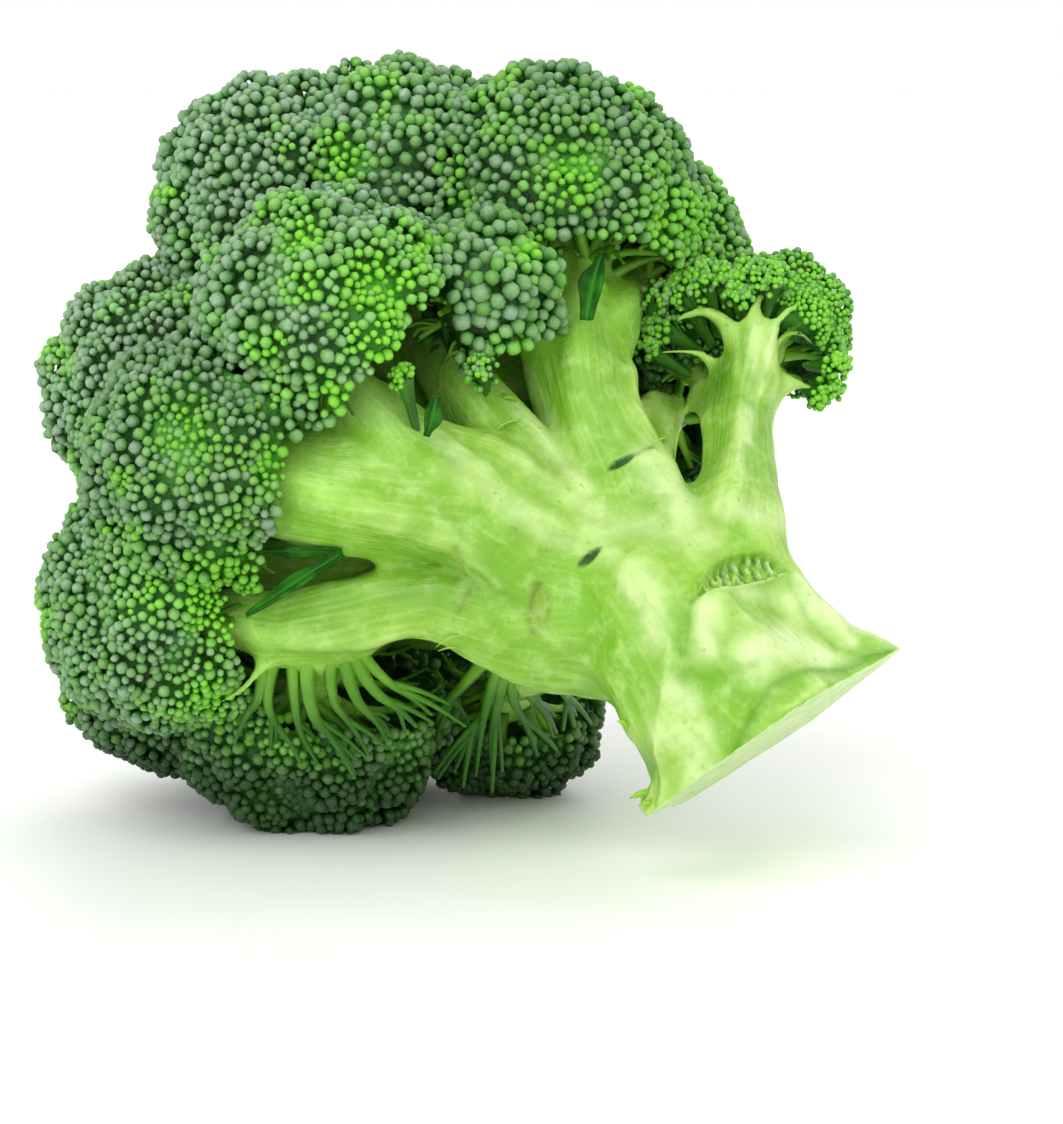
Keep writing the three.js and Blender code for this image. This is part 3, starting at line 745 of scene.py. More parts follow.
# Painted shade darkens the hollow between the fibres, and the fibres and the sill are paler
stain(GREEN, inside * np.clip(0.35 - fibre, 0, 1))
stain(DARK, inside * np.clip(-0.3 - fibre, 0, 0.6))
stain(PALE, inside * np.clip(fibre, 0, 0.9))
stain(PALE, 0.6 * sill)
stain(GREEN, 0.7 * lip)
place += normal * lift[:, None]
place[:, 2] = np.maximum(place[:, 2], SKIN_OVER_TABLE)
outward(skin_mesh, place)


def paint(mesh, name, values, kind="FLOAT"):
    """Stores a number or a point for each corner, for a material to read."""
    layer = mesh.attributes.new(name, kind, "POINT")
    key = "value" if kind == "FLOAT" else "vector"
    layer.data.foreach_set(key, np.asarray(values, dtype=np.float32).ravel())


# Where each corner lies along and round the limb that it belongs to, so that fibres follow the limbs
grain_at = np.zeros((len(place), 3))
best = np.full(len(place), 1e9)
runner_up = np.full(len(place), 1e9)
behind = np.zeros(len(place))
for number, (points, radii) in enumerate([STEM_CORE] + list(BRANCHES.values())):
    points = np.array(points, dtype=float)
    ahead = unit(np.gradient(points, axis=0))
    own = np.full(len(place), 1e9)
    own_at, own_behind = np.zeros((len(place), 3)), np.zeros(len(place))
    walked = 0.0
    for i in range(len(points) - 1):
        a, b = points[i], points[i + 1]
        length = np.linalg.norm(b - a)
        share = np.clip((place - a) @ (b - a) / length**2, 0, 1)
        off = place - a - share[:, None] * (b - a)
        gap = np.linalg.norm(off, axis=1) - (radii[i] + share * (radii[i + 1] - radii[i]))
        tangent = unit(ahead[i] + share[:, None] * (ahead[i + 1] - ahead[i]))
        side = unit(np.cross(tangent, [0.0, 1.0, 0.0]))
        turn = np.arctan2((off * side).sum(axis=1), -(off * np.cross(side, tangent)).sum(axis=1))
        nearer = gap < own
        own[nearer] = gap[nearer]
        grain = [turn * 10, walked + share * length, np.full(len(place), 9.0 * number)]
        own_at[nearer] = np.column_stack(grain)[nearer]
        own_behind[nearer] = np.abs(turn[nearer])
        walked += length
    nearer = own < best
    runner_up = np.where(nearer, best, np.minimum(runner_up, own))
    best = np.where(nearer, own, best)
    grain_at[nearer] = own_at[nearer]
    behind[nearer] = own_behind[nearer]
# Where two limbs meet, and along the far side of each, the fibres fade out
sure = np.clip((runner_up - best) / 2.5, 0, 1) * np.clip((3.0 - behind) / 0.5, 0, 1)
for i in range(2):
    sure = np.minimum(sure, average(sure, ends, count))

# Flesh is never pale and green at once
tint[PALE] = tint[PALE] ** 1.4 * (1 - 0.7 * tint[GREEN])
paint(skin_mesh, "fibred", sure)
paint(skin_mesh, "grain_at", grain_at, "FLOAT_VECTOR")
paint(skin_mesh, "bulge", np.clip(bulge * BULGE_GAIN, -1, 1))
paint(skin_mesh, "near_crown", np.clip(1 - clear_of_crown(place) / 16, 0, 1))
for kind, name in enumerate(("pale", "green", "dark", "brown")):
    paint(skin_mesh, name, tint[kind])

# The knife cut across the stem's end, with the skin's thin rim round the paler pith
cut_off(stalk, CUT_POINT, CUT_OUTWARD)

# Thorn-like stumps and torn fibres: the pixel at the foot, the way to the tip in pixels, and the
# radius at the foot in mm
PIXELS_PER_MM = 5.4
FIBRES = [
    ((626, 726), (-9, -5), 0.9),
    ((632, 742), (-7, 2), 0.7),
    ((630, 776), (-17, 3), 1.0),
    ((636, 786), (-9, 5), 0.8),
    ((646, 795), (-17, 4), 1.1),
    ((650, 804), (-12, 2), 0.9),
    ((674, 456), (6, -30), 0.5),
    ((652, 447), (14, -10), 0.35),
    ((500, 429), (19, -9), 0.35),
    ((458, 638), (-22, 9), 0.35),
    ((458, 650), (-20, 1), 0.35),
    ((506, 398), (12, 3), 0.8),
    ((700, 590), (3, -8), 0.4),
    ((716, 588), (4, -9), 0.45),
    ((733, 585), (2, -11), 0.5),
    ((748, 583), (3, -12), 0.5),
    ((764, 580), (-3, -10), 0.5),
    ((776, 578), (-2, -9), 0.4),
]
spikes = []
for foot_pixel, (right, down), thickness in FIBRES:
    foot = on_skin(foot_pixel)
    if foot is None:
        continue
    way = (right * LOOK_RIGHT - down * LOOK_UP) / PIXELS_PER_MM
    bend = 0.15 * np.linalg.norm(way) * (LOOK_UP - 1.5 * LOOK_AHEAD)
    line = [foot - 0.35 * way + 0.4 * LOOK_AHEAD, foot + 0.4 * way + bend, foot + way]
    spikes.append((line, (thickness, 0.6 * thickness, 0.08)))
spikes = tubes("torn_fibres", spikes, sides=2, steps=4)
select_only(spikes, stalk)
bpy.ops.object.join()

# Stalk skin: moist, waxy and slightly see-through, so it is soft in shade and has small highlights
stalk_skin, tree = new_material("broccoli_stalk_skin")
at = add_node(tree, "ShaderNodeTexCoord").outputs["Object"]


def read(tree, name):
    return add_node(tree, "ShaderNodeAttribute", attribute_name=name).outputs["Fac"]


def mixed(tree, share, first, second):
    """One colour laid over another. Each is a hex value or an output."""
    node = add_node(tree, "ShaderNodeMix", data_type="RGBA")
    for socket, value in ((node.inputs[0], share), (node.inputs[6], first), (node.inputs[7], second)):
        if isinstance(value, bpy.types.NodeSocket):
            tree.links.new(value, socket)
        else:
            socket.default_value = linear(value) if isinstance(value, str) else value
    return node.outputs[2]


def ranged(tree, value, low, high, to_low=0.0, to_high=1.0):
    """A value's stretch from low to high, spread from to_low to to_high."""
    return add_node(
        tree,
        "ShaderNodeMapRange",
        {"Value": value, "From Min": low, "From Max": high, "To Min": to_low, "To Max": to_high},
    ).outputs["Result"]


def noise(tree, at, scale, detail, roughness=0.5):
    """Smooth random values, with bumps about 1 / scale metres apart."""
    inputs = {"Vector": at, "Scale": scale, "Detail": detail, "Roughness": roughness}
    return add_node(tree, "ShaderNodeTexNoise", inputs).outputs["Fac"]


def bumped(tree, height, strength, distance, normal=None):
    """Normals of a skin with this relief, laid over those of another relief if one is given."""
    inputs = {"Height": height, "Strength": strength, "Distance": distance}
    if normal is not None:
        inputs["Normal"] = normal
    return add_node(tree, "ShaderNodeBump", inputs).outputs["Normal"]


# patches 10 to 25 mm across, where the skin is greener
patch = noise(tree, at, 60.0, 3.0)
# fibres under the skin, 1 mm wide and 15 mm long, that follow each limb
follow = add_node(tree, "ShaderNodeAttribute", attribute_name="grain_at").outputs["Vector"]
lie = add_node(tree, "ShaderNodeMapping", {"Vector": follow, "Scale": (0.8, 0.06, 1.0)})
streak = noise(tree, lie.outputs["Vector"], 1.0, 4.0)
streak = ranged(tree, read(tree, "fibred"), 0.0, 1.0, 0.5, streak)
# mottling 2 to 5 mm across, where the wax is thicker or thinner
mottle = noise(tree, at, 230.0, 5.0, 0.65)
# freckles under 1 mm across
freckle = noise(tree, at, 520.0, 1.0)
colour = mixed(tree, ranged(tree, patch, 0.38, 0.62), "#92c040", "#78ae20")
# What is laid over that in turn: a value, where it starts and is full, how strong, and its colour
for value, low, high, share, tone in (
    # ridges paler, partly pale flesh and partly painted highlight, and hollows darker as painted shade
    (read(tree, "bulge"), 0.1, 0.8, 0.55, "#c4e284"),
    (read(tree, "bulge"), -0.1, -0.8, 0.6, "#68a518"),
    (read(tree, "green"), 0.0, 1.0, 0.85, "#73b024"),
    # pale: pale flesh, and painted light on sides that face the light, painted highlights and paler
    # patches on shaded branches
    (read(tree, "pale"), 0.0, 1.0, 0.95, "#d8eaac"),
    (read(tree, "near_crown"), 0.3, 1.0, 0.6, "#84cc34"),
    (streak, 0.5, 0.75, 0.26, "#d6eea0"),
    (streak, 0.48, 0.25, 0.28, "#6fa82c"),
    (mottle, 0.5, 0.7, 0.3, "#d8eea4"),
    (mottle, 0.5, 0.32, 0.3, "#70a628"),
    # dark: mostly painted shade in slits, grooves, the scar's hollow and on shaded branch sides, and
    # the dark green rim of the knife cut
    (read(tree, "dark"), 0.0, 1.0, 1.0, "#0f4a08"),
    (read(tree, "brown"), 0.0, 1.0, 1.0, "#6f7a24"),
    (freckle, 0.7, 0.76, 0.4, "#7f9440"),
):
    colour = mixed(tree, ranged(tree, value, low, high, 0.0, share), colour, tone)
grain = bumped(tree, noise(tree, at, 800.0, 3.0), 0.3, 0.0004)
grain = bumped(tree, streak, 0.4, 0.001, grain)
grain = bumped(tree, mottle, 0.35, 0.0015, grain)
shine = ranged(tree, patch, 0.3, 0.7, 0.3, 0.45)
surface(tree, colour, shine, 1.42, grain, (0.3, (1.0, 1.2, 0.4), 0.002))

# Cut pith: wet, coarse and paler than the skin
cut_pith, tree = new_material("broccoli_cut_pith")
at = add_node(tree, "ShaderNodeTexCoord").outputs["Object"]
fibres = noise(tree, at, 350.0, 4.0)
colour = mixed(tree, ranged(tree, fibres, 0.35, 0.65), "#a9cd78", "#cfe3a8")
grain = bumped(tree, fibres, 0.6, 0.0008)
surface(tree, colour, 0.45, 1.4, grain, (0.4, (1.0, 1.2, 0.5), 0.003))

stalk.data.materials.clear()
stalk.data.materials.append(stalk_skin)
stalk.data.materials.append(cut_pith)
bm = bmesh.new()
bm.from_mesh(stalk.data)
cut_faces = [f for f in bm.faces if len(f.verts) > 12]
for f in bm.faces:
    f.smooth = True
    f.material_index = 0
for f in cut_faces:
    f.material_index = 1
    f.smooth = False
rim_edges = {e for f in cut_faces for e in f.edges}
for e in rim_edges:
    e.smooth = False
bmesh.ops.triangulate(bm, faces=cut_faces)
bm.to_mesh(stalk.data)
bm.free()
stalk.name = stalk.data.name = "stalk_flesh"
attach(stalk, "root")
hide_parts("stalk")

# Florets
# Each floret is a dome of hundreds of closed flower buds, packed side by side on thin stalklets.
# The buds are egg-shaped and waxy, blue-green where they are full-grown and yellow-green where young.

YOUNG_SHARE = 0.68  # size of the youngest buds against the full-grown ones
CORE_DEPTH = 3.2  # mm, from the tips of the buds to the dark tangle of stalklets under them
HOLLOW_DEPTH = 4.0  # mm, by which the hollow under a floret goes deeper than in its plain solid
CLUSTER_HEIGHT = 2.2  # mm, by which a cluster stands out of its dome
CLUSTER_REACH = 0.62 * CLUSTER_PITCH  # from a cluster's middle to its rim
USUAL_BUD = 2.4  # mm, the size of bud at which clusters have their full height
TRY_DENSITY = 165  # places tried for buds, on a dome whose radius is one bud's size
# Shares of the sizes of two buds together: no nearer at first, and apart once pushed
NEAREST, TOUCHING = 0.38, 0.46
PUSH, PUSH_PASSES = 0.22, 4
TUFT_DENSITY = 3.8  # buds in a lone tuft of 1 mm radius. Their number grows with its square
FULL_BUD_SIDES, SMALL_BUD_SIDES = 8, 6
BUD_TIP, BUD_FOOT = 1.06, -1.1  # height of a bud's ends, against its half width
# Seeds. All but the ribs' one have the floret's number added.
FAN_SEED, BUD_SEED, TURN_SEED, STALKLET_SEED, TUFT_SEED = 77, 100, 200, 300, 400

# Patches of young buds in the picture: pixel, radius in pixels, and how young
YOUNG_PATCHES = [
    (575, 175, 34, 0.9), (340, 158, 26, 0.9), (300, 232, 34, 0.6), (300, 285, 26, 0.7),
    (423, 240, 18, 0.8), (457, 200, 14, 0.6), (535, 245, 20, 0.7), (385, 285, 55, 0.8),
    (385, 330, 40, 0.9), (263, 345, 30, 0.6), (183, 433, 50, 0.62), (280, 467, 36, 0.8),
    (113, 483, 22, 0.6), (163, 193, 12, 0.6), (615, 255, 26, 0.7), (683, 222, 46, 0.7),
    (800, 320, 90, 0.7), (225, 595, 50, 0.95), (290, 730, 50, 0.55), (150, 590, 40, 0.5),
    (660, 170, 34, 0.4), (500, 130, 20, 0.4), (420, 120, 16, 0.4), (290, 150, 14, 0.5),
    (700, 270, 60, 0.6), (545, 140, 26, 0.4), (130, 540, 22, 0.5), (210, 700, 40, 0.6),
    (640, 260, 40, 0.5), (330, 390, 34, 0.6), (600, 130, 20, 0.35), (90, 430, 24, 0.35),
    (430, 760, 60, 0.3), (540, 740, 50, 0.3), (230, 520, 40, 0.45), (270, 400, 26, 0.45),
]  # fmt: skip


def bud_shape(segments):
    """Corners, faces and heights of one bud: a sphere drawn out to an egg with a blunt tip."""
    bpy.ops.object.select_all(action="DESELECT")
    bpy.ops.mesh.primitive_uv_sphere_add(segments=segments, ring_count=4, radius=1)
    ball = bpy.context.object
    found = np.array([v.co for v in ball.data.vertices])
    ball_faces = [tuple(p.vertices) for p in ball.data.polygons]
    bpy.data.objects.remove(ball)
    turn = np.arctan2(found[:, 1], found[:, 0])
    levels = [found[:, 2] > 0.9, found[:, 2] > 0.3, found[:, 2] > -0.3, found[:, 2] > -0.9]
    reach = np.select(levels, [0.0, 0.68, 1.0, 0.74], 0.0)
    if segments == FULL_BUD_SIDES:
        reach *= 1 + 0.05 * np.cos(4 * turn)  # furrows between the four sepals
    height = np.select(levels, [BUD_TIP, 0.8, 0.16, -0.6], BUD_FOOT)
    shape = np.column_stack([reach * np.cos(turn), reach * np.sin(turn), height])
    return shape, ball_faces, (height - BUD_FOOT) / (BUD_TIP - BUD_FOOT)


FULL_BUD, SMALL_BUD = bud_shape(FULL_BUD_SIDES), bud_shape(SMALL_BUD_SIDES)
SMALL_BUD_LIMIT = 2.0  # mm, the size under which a bud is made with fewer faces


def noise_at(points, pitch, seed):
    """Smooth noise between 0 and 1, with bumps about pitch mm apart."""
    draw = np.random.default_rng(seed)
    total = np.zeros(len(points))
    for _ in range(6):
        wave = unit(draw.normal(size=3)) * 2 * math.pi / (pitch * draw.uniform(0.8, 1.6))
        total += np.sin(points @ wave + draw.uniform(0, 2 * math.pi))
    return np.clip(0.5 + total / 6, 0, 1)


def youth_at(name, points, directions, seed):
    """How young the buds are at points of a dome, from 0 for full-grown to 1."""
    youth = np.clip((noise_at(points, 17, seed) - 0.6) * 3, 0, 1) * 0.6
    pixels = in_picture(points)
    towards_viewer = (directions * unit(VIEWER - points)).sum(axis=1) > 0.05
    in_front = towards_viewer & (points[:, 1] < 30)
    youth[in_front] *= 0.6
    for across, down, patch_reach, amount in YOUNG_PATCHES:
        gap = np.hypot(pixels[:, 0] - across, pixels[:, 1] - down) / patch_reach
        youth = np.maximum(youth, amount * np.exp(-(gap**2)) * in_front)
    return youth


def pack_buds(name, seed):
    """Middles, outward ways, sizes and youth of a floret's buds."""
    draw = np.random.default_rng(BUD_SEED + seed)
    middle, radius, size = middle_of[name], radius_of[name], bud_size_of[name]
    tries = int(TRY_DENSITY * (radius / size) ** 2)
    directions = unit(draw.normal(size=(tries, 3)))
    directions = directions[directions @ out_of[name] > -skirt_of[name]]
    points = middle + directions * radius
    for other in FLORETS:
        if other != name:
            clear = np.linalg.norm(points - middle_of[other], axis=1) > radius_of[other] - 1.5
            directions, points = directions[clear], points[clear]
    youth = youth_at(name, points, directions, seed)
    youth = np.clip(youth + draw.normal(scale=0.13, size=len(points)) * (0.3 + youth), 0, 1)
    sizes = size * (1 - (1 - YOUNG_SHARE) * youth)
    sizes = sizes * draw.choice([0.78, 0.92, 1.0, 1.08, 1.2], len(points))
    kept = np.empty(len(points), dtype=int)
    number = 0
    for i in range(len(points)):
        if number:
            gaps = np.linalg.norm(points[kept[:number]] - points[i], axis=1)
            if (gaps < NEAREST * (sizes[kept[:number]] + sizes[i])).any():
                continue
        kept[number] = i
        number += 1
    kept = kept[:number]
    directions, points, sizes, youth = directions[kept], points[kept], sizes[kept], youth[kept]

    # Buds that touch push each other apart
    room = TOUCHING * (sizes[:, None] + sizes[None])
    for _ in range(PUSH_PASSES):
        away = points[:, None] - points[None]
        gaps = np.linalg.norm(away, axis=2) + 1e-6
        push = np.clip(room - gaps, 0, None) / gaps
        np.fill_diagonal(push, 0)
        points = points + PUSH * (away * push[..., None]).sum(axis=1)
        directions = unit(points - middle)
        points = middle + directions * radius

    # Each cluster is a small dome of its own, and its outer buds lean outwards
    centres = middle + clusters_of[name] * radius
    gaps = np.linalg.norm(points[:, None] - centres[None], axis=2)
    own = gaps.argmin(axis=1)
    share = np.clip(gaps.min(axis=1) / CLUSTER_REACH, 0, 1.3)
    height = CLUSTER_HEIGHT * min(1.0, size / USUAL_BUD) * (1 - share**2) - 1.0
    height += draw.uniform(-0.45, 0.4, len(points)) - 0.3 * youth
    lean = (points - centres[own]) / CLUSTER_REACH
    ways = unit(directions + 0.5 * lean + draw.normal(scale=0.2, size=points.shape))
    points = points + directions * (height - 0.5 * sizes)[:, None]
    return points, ways, sizes, youth


def stalklets(name, seed):
    """Thin curved stalklets from the boughs to the clusters, and a few twigs in each cluster."""
    draw = np.random.default_rng(STALKLET_SEED + seed)
    middle, radius, out, fork = middle_of[name], radius_of[name], out_of[name], fork_of[name]
    ribs, twigs = [], []
    for direction in clusters_of[name]:
        tip = middle + direction * (radius - 3.4)
        match = [unit(b[0][-1] - fork) @ unit(tip - fork) for b in boughs_of[name]]
        knee, end = boughs_of[name][int(np.argmax(match))][0][1:]
        start = knee + draw.uniform(0.2, 0.9) * (end - knee)
        reach = np.linalg.norm(tip - start)
        rise = unit(middle + 0.3 * radius * out - fork)
        bend = start + 0.5 * (tip - start) + (0.1 * rise + draw.normal(scale=0.04, size=3)) * reach
        ribs.append(([start, bend, tip], (1.25, 0.85, 0.6)))
        for _ in range(3):
            side = unit(np.cross(direction, draw.normal(size=3)))
            twig_tip = middle + unit(direction * radius + 3.6 * side) * (radius - 2.4)
            twig_start = bend + draw.uniform(0.0, 0.4) * (tip - bend)
            twig_bend = 0.5 * (twig_start + twig_tip) + 0.1 * reach * rise
            twigs.append(([twig_start, twig_bend, twig_tip], (0.6, 0.5, 0.4)))
    return ribs, twigs


def thin_ribs(name):
    """The thin far ends of the ribs in front of a floret's hollow, each with a few forks."""
    draw = np.random.default_rng(FAN_SEED)
    ribs = []
    for line in fans_of.get(name, []):
        thick = draw.uniform(0.8, 1.15)
        ribs.append((line, (1.8 * thick, 1.05 * thick, 0.7 * thick, 0.4 * thick)))
        for _ in range(3):
            fork = line[1] + draw.uniform(0.1, 1.0) * (line[2] - line[1])
            tip = line[3] + draw.normal(scale=(2.6, 1.0, 2.2))
            bend = 0.5 * (fork + tip) + [0, -0.3, 0.6]
            ribs.append(([fork, bend, tip], (0.75, 0.55, 0.35)))
    return ribs


# Small tufts of young buds that stand alone in the forks: the pixel of each tuft and of its foot,
# their y, the tuft's radius in mm, how young its oldest buds are, and the floret it belongs to
TUFTS = [
    ((404, 378), (418, 436), -49, 2.7, 0.5, "front_1"),
    ((482, 372), (486, 392), -40, 3.2, 0.1, "front_2"),
    ((660, 300), (652, 360), -6, 3.8, 0.1, "top_3"),
    ((684, 294), (712, 345), -4, 4.6, 0.1, "side_1"),
    ((704, 280), (720, 335), -4, 4.6, 0.1, "side_1"),
    ((728, 284), (735, 335), -4, 4.6, 0.0, "side_1"),
    ((752, 276), (745, 320), -4, 4.6, 0.0, "side_1"),
    ((740, 300), (742, 330), -6, 3.4, 0.0, "side_1"),
    ((772, 282), (765, 320), -4, 4.2, 0.2, "side_1"),
    ((662, 328), (700, 350), -5, 3.8, 0.1, "side_2"),
    ((650, 350), (690, 375), -6, 3.0, 0.1, "side_2"),
    ((684, 322), (700, 350), 0, 3.4, 0.0, "side_2"),
    ((816, 396), (800, 385), -3, 2.6, 0.4, "side_1"),
    ((830, 388), (810, 384), -2, 2.8, 0.4, "side_1"),
    ((834, 366), (806, 366), -2, 3.2, 0.4, "side_1"),
]


def tufts(name, seed):
    """The buds and stalklets of a floret's lone tufts."""
    draw = np.random.default_rng(TUFT_SEED + seed)
    buds, fan = [np.zeros((0, 8))], []
    for pixel, foot_pixel, y, radius, oldest, owner in TUFTS:
        if owner != name:
            continue
        middle, foot = at_depth(pixel, y), at_depth(foot_pixel, y + 2)
        way = unit(middle - foot)
        fan.append(([foot, 0.5 * (foot + middle), middle], (0.8, 0.45 * radius, 0.8 * radius)))
        for _ in range(int(TUFT_DENSITY * radius**2)):
            direction = unit(draw.normal(size=3) + 0.8 * way - 0.9 * LOOK_AHEAD)
            tip = middle + radius * direction * draw.uniform(0.86, 1.0)
            size = draw.uniform(1.1, 1.7)
            buds.append(np.array([[*tip, *direction, size, draw.uniform(oldest, 0.9)]]))
            if draw.uniform() < 0.25:
                bend = 0.4 * foot + 0.6 * tip + draw.normal(scale=0.3, size=3)
                bend = bend - 0.25 * radius * direction
                fan.append(([foot + draw.normal(scale=0.3, size=3), bend, tip], (0.45, 0.35, 0.3)))
    buds = np.vstack(buds)
    return buds[:, :3], buds[:, 3:6], buds[:, 6], buds[:, 7], fan


def build_mesh(name, points, faces, materials, indices, smooth=True):
    """A mesh object from corners in mm, faces, and each face's material."""
    mesh = bpy.data.meshes.new(name)
    mesh.from_pydata(((points + SHIFT) * MM).tolist(), [], faces)
    for material in materials:
        mesh.materials.append(material)
    mesh.polygons.foreach_set("material_index", np.asarray(indices, dtype=np.int32))
    mesh.polygons.foreach_set("use_smooth", np.full(len(faces), smooth))
    made = bpy.data.objects.new(name, mesh)
    scene.collection.objects.link(made)
    return made


# Bud skin: closed sepals under a dull blue-grey bloom of wax, which is thickest at the tip and
# rubs off the sides, where they are a deeper green. Each bud is also painted darker towards its
# foot, as painted shade in the gaps between buds, and a painted shade attribute darkens low,
# downward-facing and shaded buds
bud_skin, tree = new_material("broccoli_bud_skin")
at = add_node(tree, "ShaderNodeTexCoord").outputs["Object"]
up = read(tree, "bud_height")
youth = read(tree, "youth")
bloom = read(tree, "bloom")
# wax lies in flecks under 1 mm across
fleck = noise(tree, at, 900.0, 2.0)
bloomed = mixed(tree, ranged(tree, up, 0.45, 0.95), "#3f7a34", "#88a486")
bloomed = mixed(tree, ranged(tree, fleck, 0.5, 0.7, 0.0, 0.35), bloomed, "#b4c8b2")
rubbed = mixed(tree, ranged(tree, up, 0.4, 1.0), "#2c7a1e", "#6c9e4a")
full = mixed(tree, bloom, rubbed, bloomed)
young = mixed(tree, ranged(tree, up, 0.35, 0.95), "#3f9a0e", "#80ca38")
colour = mixed(tree, ranged(tree, youth, 0.12, 0.6), full, young)
# painted shade: darker towards each bud's foot, where the gaps between the buds lie in shade
colour = mixed(tree, ranged(tree, up, 0.55, 0.1, 0.0, 0.8), colour, "#1f5a10")
# painted shade from the attribute set on low, downward-facing and shaded buds
colour = mixed(tree, ranged(tree, read(tree, "painted_shade"), 0.0, 0.9, 0.0, 0.9), colour, "#103608")
grain = bumped(tree, noise(tree, at, 1100.0, 2.0), 0.5, 0.0007)
surface(tree, colour, 0.5, 1.4, grain, (0.15, (0.6, 1.0, 0.3), 0.001))

# Stalklet tangle: a dark sheet under the buds whose near-black green is painted shade, standing in for
# the shaded thin stalks between the buds
tangle, tree = new_material("broccoli_stalklet_tangle")
at = add_node(tree, "ShaderNodeTexCoord").outputs["Object"]
strands = noise(tree, at, 500.0, 2.0)
colour = mixed(tree, ranged(tree, strands, 0.35, 0.65), "#12330c", "#2c6a1c")
colour = mixed(tree, ranged(tree, read(tree, "youth"), 0.15, 0.7), colour, "#3f9a14")
surface(tree, colour, 0.6, normal=bumped(tree, strands, 1.0, 0.001))

# Stalklet skin: as the stalk's, but greener, with painted shade that darkens it towards the buds and,
# on the fan ribs, lower down
stalklet_skin, tree = new_material("broccoli_stalklet_skin")
at = add_node(tree, "ShaderNodeTexCoord").outputs["Object"]
colour = mixed(tree, ranged(tree, noise(tree, at, 120.0, 2.0), 0.35, 0.65), "#8ac63a", "#64a024")
colour = mixed(tree, ranged(tree, read(tree, "painted_shade"), 0.0, 1.0, 0.0, 0.9), colour, "#1f5a10")
surface(tree, colour, 0.4, 1.4, flesh=(0.2, (0.8, 1.2, 0.3), 0.001))

# Florets painted darker, as painted shade for lying a little more in the shade of the others, and by
# how much
DIM = {"front_3": 0.2, "top_3": 0.12, "bottom_1": 0.2, "bottom_2": 0.3, "side_2": 0.2, "side_3": 0.3}

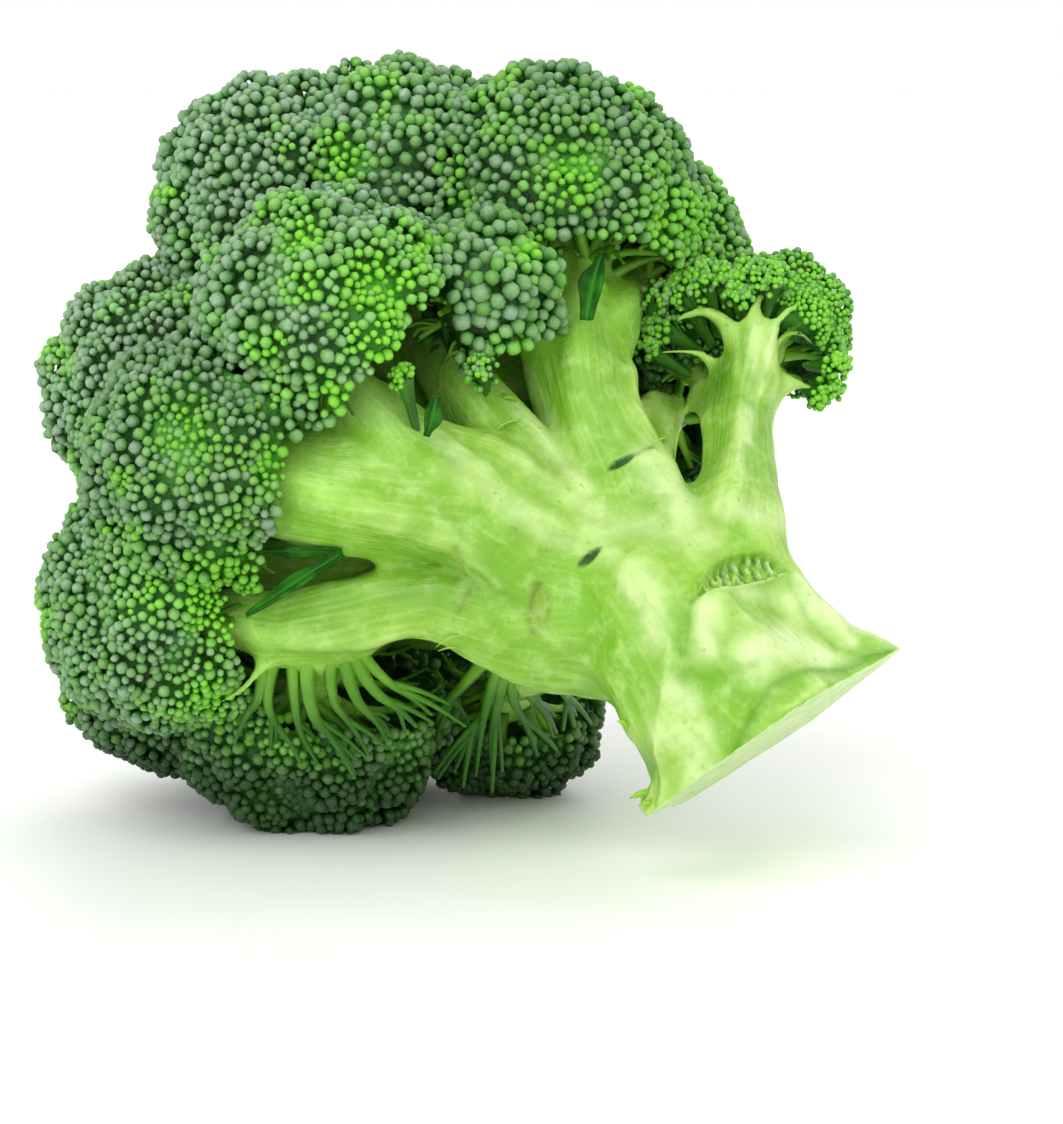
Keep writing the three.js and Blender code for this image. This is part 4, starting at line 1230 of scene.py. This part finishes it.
for seed, name in enumerate(FLORETS):
    points, ways, sizes, youth = pack_buds(name, seed)
    tuft_points, tuft_ways, tuft_sizes, tuft_youth, tuft_fan = tufts(name, seed)
    points, ways = np.vstack([points, tuft_points]), np.vstack([ways, tuft_ways])
    sizes, youth = np.concatenate([sizes, tuft_sizes]), np.concatenate([youth, tuft_youth])
    draw = np.random.default_rng(TURN_SEED + seed)
    side = unit(np.cross(ways, unit(draw.normal(size=points.shape))))
    other_side = np.cross(ways, side)
    half = 0.5 * sizes[:, None] * draw.uniform((0.92, 0.92, 0.95), (1.12, 1.12, 1.3), (len(points), 3))
    shaped, faces, up_values, youth_values, bloom_values = [], [], [], [], []
    bloom = np.clip(bloom_of[name] + draw.uniform(-0.6, 0.3, len(points)), 0, 1)
    # Painted shade: buds that lie low and face down are painted darker, and whole florets by their
    # share in DIM
    painted_shade = np.clip((27 - points[:, 2]) / 16, 0, 1) * np.clip(0.7 - ways[:, 2], 0, 1)
    painted_shade = np.maximum(painted_shade, DIM.get(name, 0.0))
    painted_shade_values = []
    first = 0
    for small, (bud_corners, bud_faces, bud_height) in ((False, FULL_BUD), (True, SMALL_BUD)):
        chosen = (sizes < SMALL_BUD_LIMIT) == small
        local = bud_corners[None] * half[chosen][:, None]
        grown = (
            points[chosen][:, None]
            + local[..., 0:1] * side[chosen][:, None]
            + local[..., 1:2] * other_side[chosen][:, None]
            + local[..., 2:3] * ways[chosen][:, None]
        )
        number, per_bud = int(chosen.sum()), len(bud_corners)
        for i in range(number):
            faces += [tuple(first + k for k in face) for face in bud_faces]
            first += per_bud
        shaped.append(grown.reshape(-1, 3))
        up_values.append(np.tile(bud_height, number))
        youth_values.append(np.repeat(youth[chosen], per_bud))
        bloom_values.append(np.repeat(bloom[chosen], per_bud))
        painted_shade_values.append(np.repeat(painted_shade[chosen], per_bud))
    shaped = np.vstack(shaped)
    indices = [0] * len(faces)

    # The core under the buds, drawn in from the floret's solid
    core = copy_of("floret_" + name, "core")
    core_points = corners(core.data)
    off = core_points - middle_of[name]
    length = np.linalg.norm(off, axis=1)
    limit = radius_of[name] - min(CORE_DEPTH, 1.25 * bud_size_of[name])
    underside = length < radius_of[name] - CORE_DEPTH - 1
    core_points = middle_of[name] + off * np.minimum(1, limit / length)[:, None]
    core_points[underside] += HOLLOW_DEPTH * out_of[name]
    below = -skirt_of[name] - (off / length[:, None]) @ out_of[name]
    bare = below > 0.05
    core_points -= 0.3 * np.clip(below / 0.35, 0, 1)[:, None] * (core_points - middle_of[name])
    core_youth = youth_at(name, core_points, off / length[:, None], seed) * ~(underside | bare)
    core_faces = [tuple(first + k for k in p.vertices) for p in core.data.polygons]
    faces += core_faces
    indices += [1] * len(core_faces)
    bpy.data.objects.remove(core)

    first += len(core_points)
    ribs, twigs = stalklets(name, seed)
    parts = [shaped, core_points]
    painted_shade_values.append(np.zeros(len(core_points)))
    for thin, sides, steps, own_shade in (
        (ribs, 1, 3, False),
        (thin_ribs(name), 1, 4, True),
        (twigs + tuft_fan, 0, 2, False),
    ):
        if not thin:
            continue
        fan = tubes("fan", thin, sides=sides, steps=steps)
        parts.append(corners(fan.data))
        # painted shade: stalklets darker towards the buds, the fan ribs darker lower down
        out_share = np.linalg.norm(parts[-1] - middle_of[name], axis=1) / radius_of[name]
        sunk = (40 - parts[-1][:, 2]) / 15
        painted_shade_values.append(np.clip(sunk if own_shade else (out_share - 0.6) / 0.35, 0, 1))
        fan_faces = [tuple(first + k for k in p.vertices) for p in fan.data.polygons]
        faces += fan_faces
        indices += [2] * len(fan_faces)
        first += len(parts[-1])
        bpy.data.objects.remove(fan)

    everything = np.vstack(parts)
    everything[:, 2] = np.maximum(everything[:, 2], 0.0)
    floret = build_mesh("buds_" + name, everything, faces, [bud_skin, tangle, stalklet_skin], indices)
    rest = np.zeros(len(everything) - len(shaped))
    paint(floret.data, "bud_height", np.concatenate(up_values + [rest]))
    paint(floret.data, "bloom", np.concatenate(bloom_values + [rest]))
    paint(floret.data, "painted_shade", np.concatenate(painted_shade_values))
    rest[: len(core_points)] = core_youth
    paint(floret.data, "youth", np.concatenate(youth_values + [rest]))
    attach(floret, "root")
    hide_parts("floret_" + name)

# Leaves
# Three small dark leaves stay on the branches. Each is one thin strap or two, grown flat and
# folded along the rib, with a dull waxy skin and wavy edges.

# Each leaf: its straps, with each one's rib in mm, half width in mm, and the way its face looks
LEAVES = {
    "leaf_1": [
        ([(-9, -50, 60), (-17, -51, 55), (-27, -48, 48)], 1.4, (0.2, -0.75, 0.6)),
        ([(-9, -49.5, 60.5), (-17, -48, 60.5), (-26, -46, 60)], 1.1, (0.1, -0.8, -0.5)),
    ],
    "leaf_2": [([(8.4, -50, 89), (7.9, -52, 86), (6.8, -53, 82.3)], 1.5, (0.3, -1, 0.1))],
    "leaf_3": [([(37, -29, 102), (38, -26, 108), (40, -20, 114)], 2.1, (-0.3, -1, 0.3))],
}
LEAF_THICKNESS = 0.6  # mm
LEAF_STEPS, LEAF_ACROSS = 18, 6

# Leaf skin: darker and bluer than the stalk, with a slightly paler rib
leaf_skin, tree = new_material("broccoli_leaf_skin")
at = add_node(tree, "ShaderNodeTexCoord").outputs["Object"]
colour = mixed(tree, ranged(tree, noise(tree, at, 200.0, 3.0), 0.4, 0.62), "#14460a", "#2c7614")
colour = mixed(tree, ranged(tree, read(tree, "rib"), 0.5, 0.95, 0.0, 0.6), colour, "#3f8f24")
surface(tree, colour, 0.7, 1.25)

for name, straps in LEAVES.items():
    points, ribs, faces = [], [], []
    row = LEAF_ACROSS + 1
    for rib, half_width, face in straps:
        first = len(points)
        a, b, c = (np.array(p, dtype=float) for p in rib)
        handle = 2 * b - (a + c) / 2
        for i in range(LEAF_STEPS + 1):
            t = i / LEAF_STEPS
            middle = (1 - t) ** 2 * a + 2 * t * (1 - t) * handle + t**2 * c
            ahead = unit((1 - t) * (handle - a) + t * (c - handle))
            across = unit(np.cross(ahead, face))
            front = np.cross(across, ahead)
            width = half_width * (0.2 + 0.8 * math.sin(math.pi * (0.1 + t * 0.88)) ** 0.8)
            width *= 1 + 0.12 * math.sin(11 * t + half_width)
            for k in range(row):
                s = 2 * k / LEAF_ACROSS - 1
                fold = 0.7 * abs(s) * width + 0.2 * half_width * math.sin(8 * t + 3 * s) * s * s
                points.append(middle + across * (s * width) + front * fold)
                ribs.append(1 - abs(s))
        for i in range(LEAF_STEPS):
            for k in range(LEAF_ACROSS):
                j = first + i * row + k
                faces.append((j, j + 1, j + row + 1, j + row))
    leaf = build_mesh(name + "_blade", np.array(points), faces, [leaf_skin], [0] * len(faces))
    paint(leaf.data, "rib", ribs)
    thickness = leaf.modifiers.new("thickness", "SOLIDIFY")
    thickness.thickness = LEAF_THICKNESS * MM
    thickness.offset = 0
    select_only(leaf)
    bpy.ops.object.modifier_apply(modifier="thickness")
    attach(leaf, "root")
    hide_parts(name)
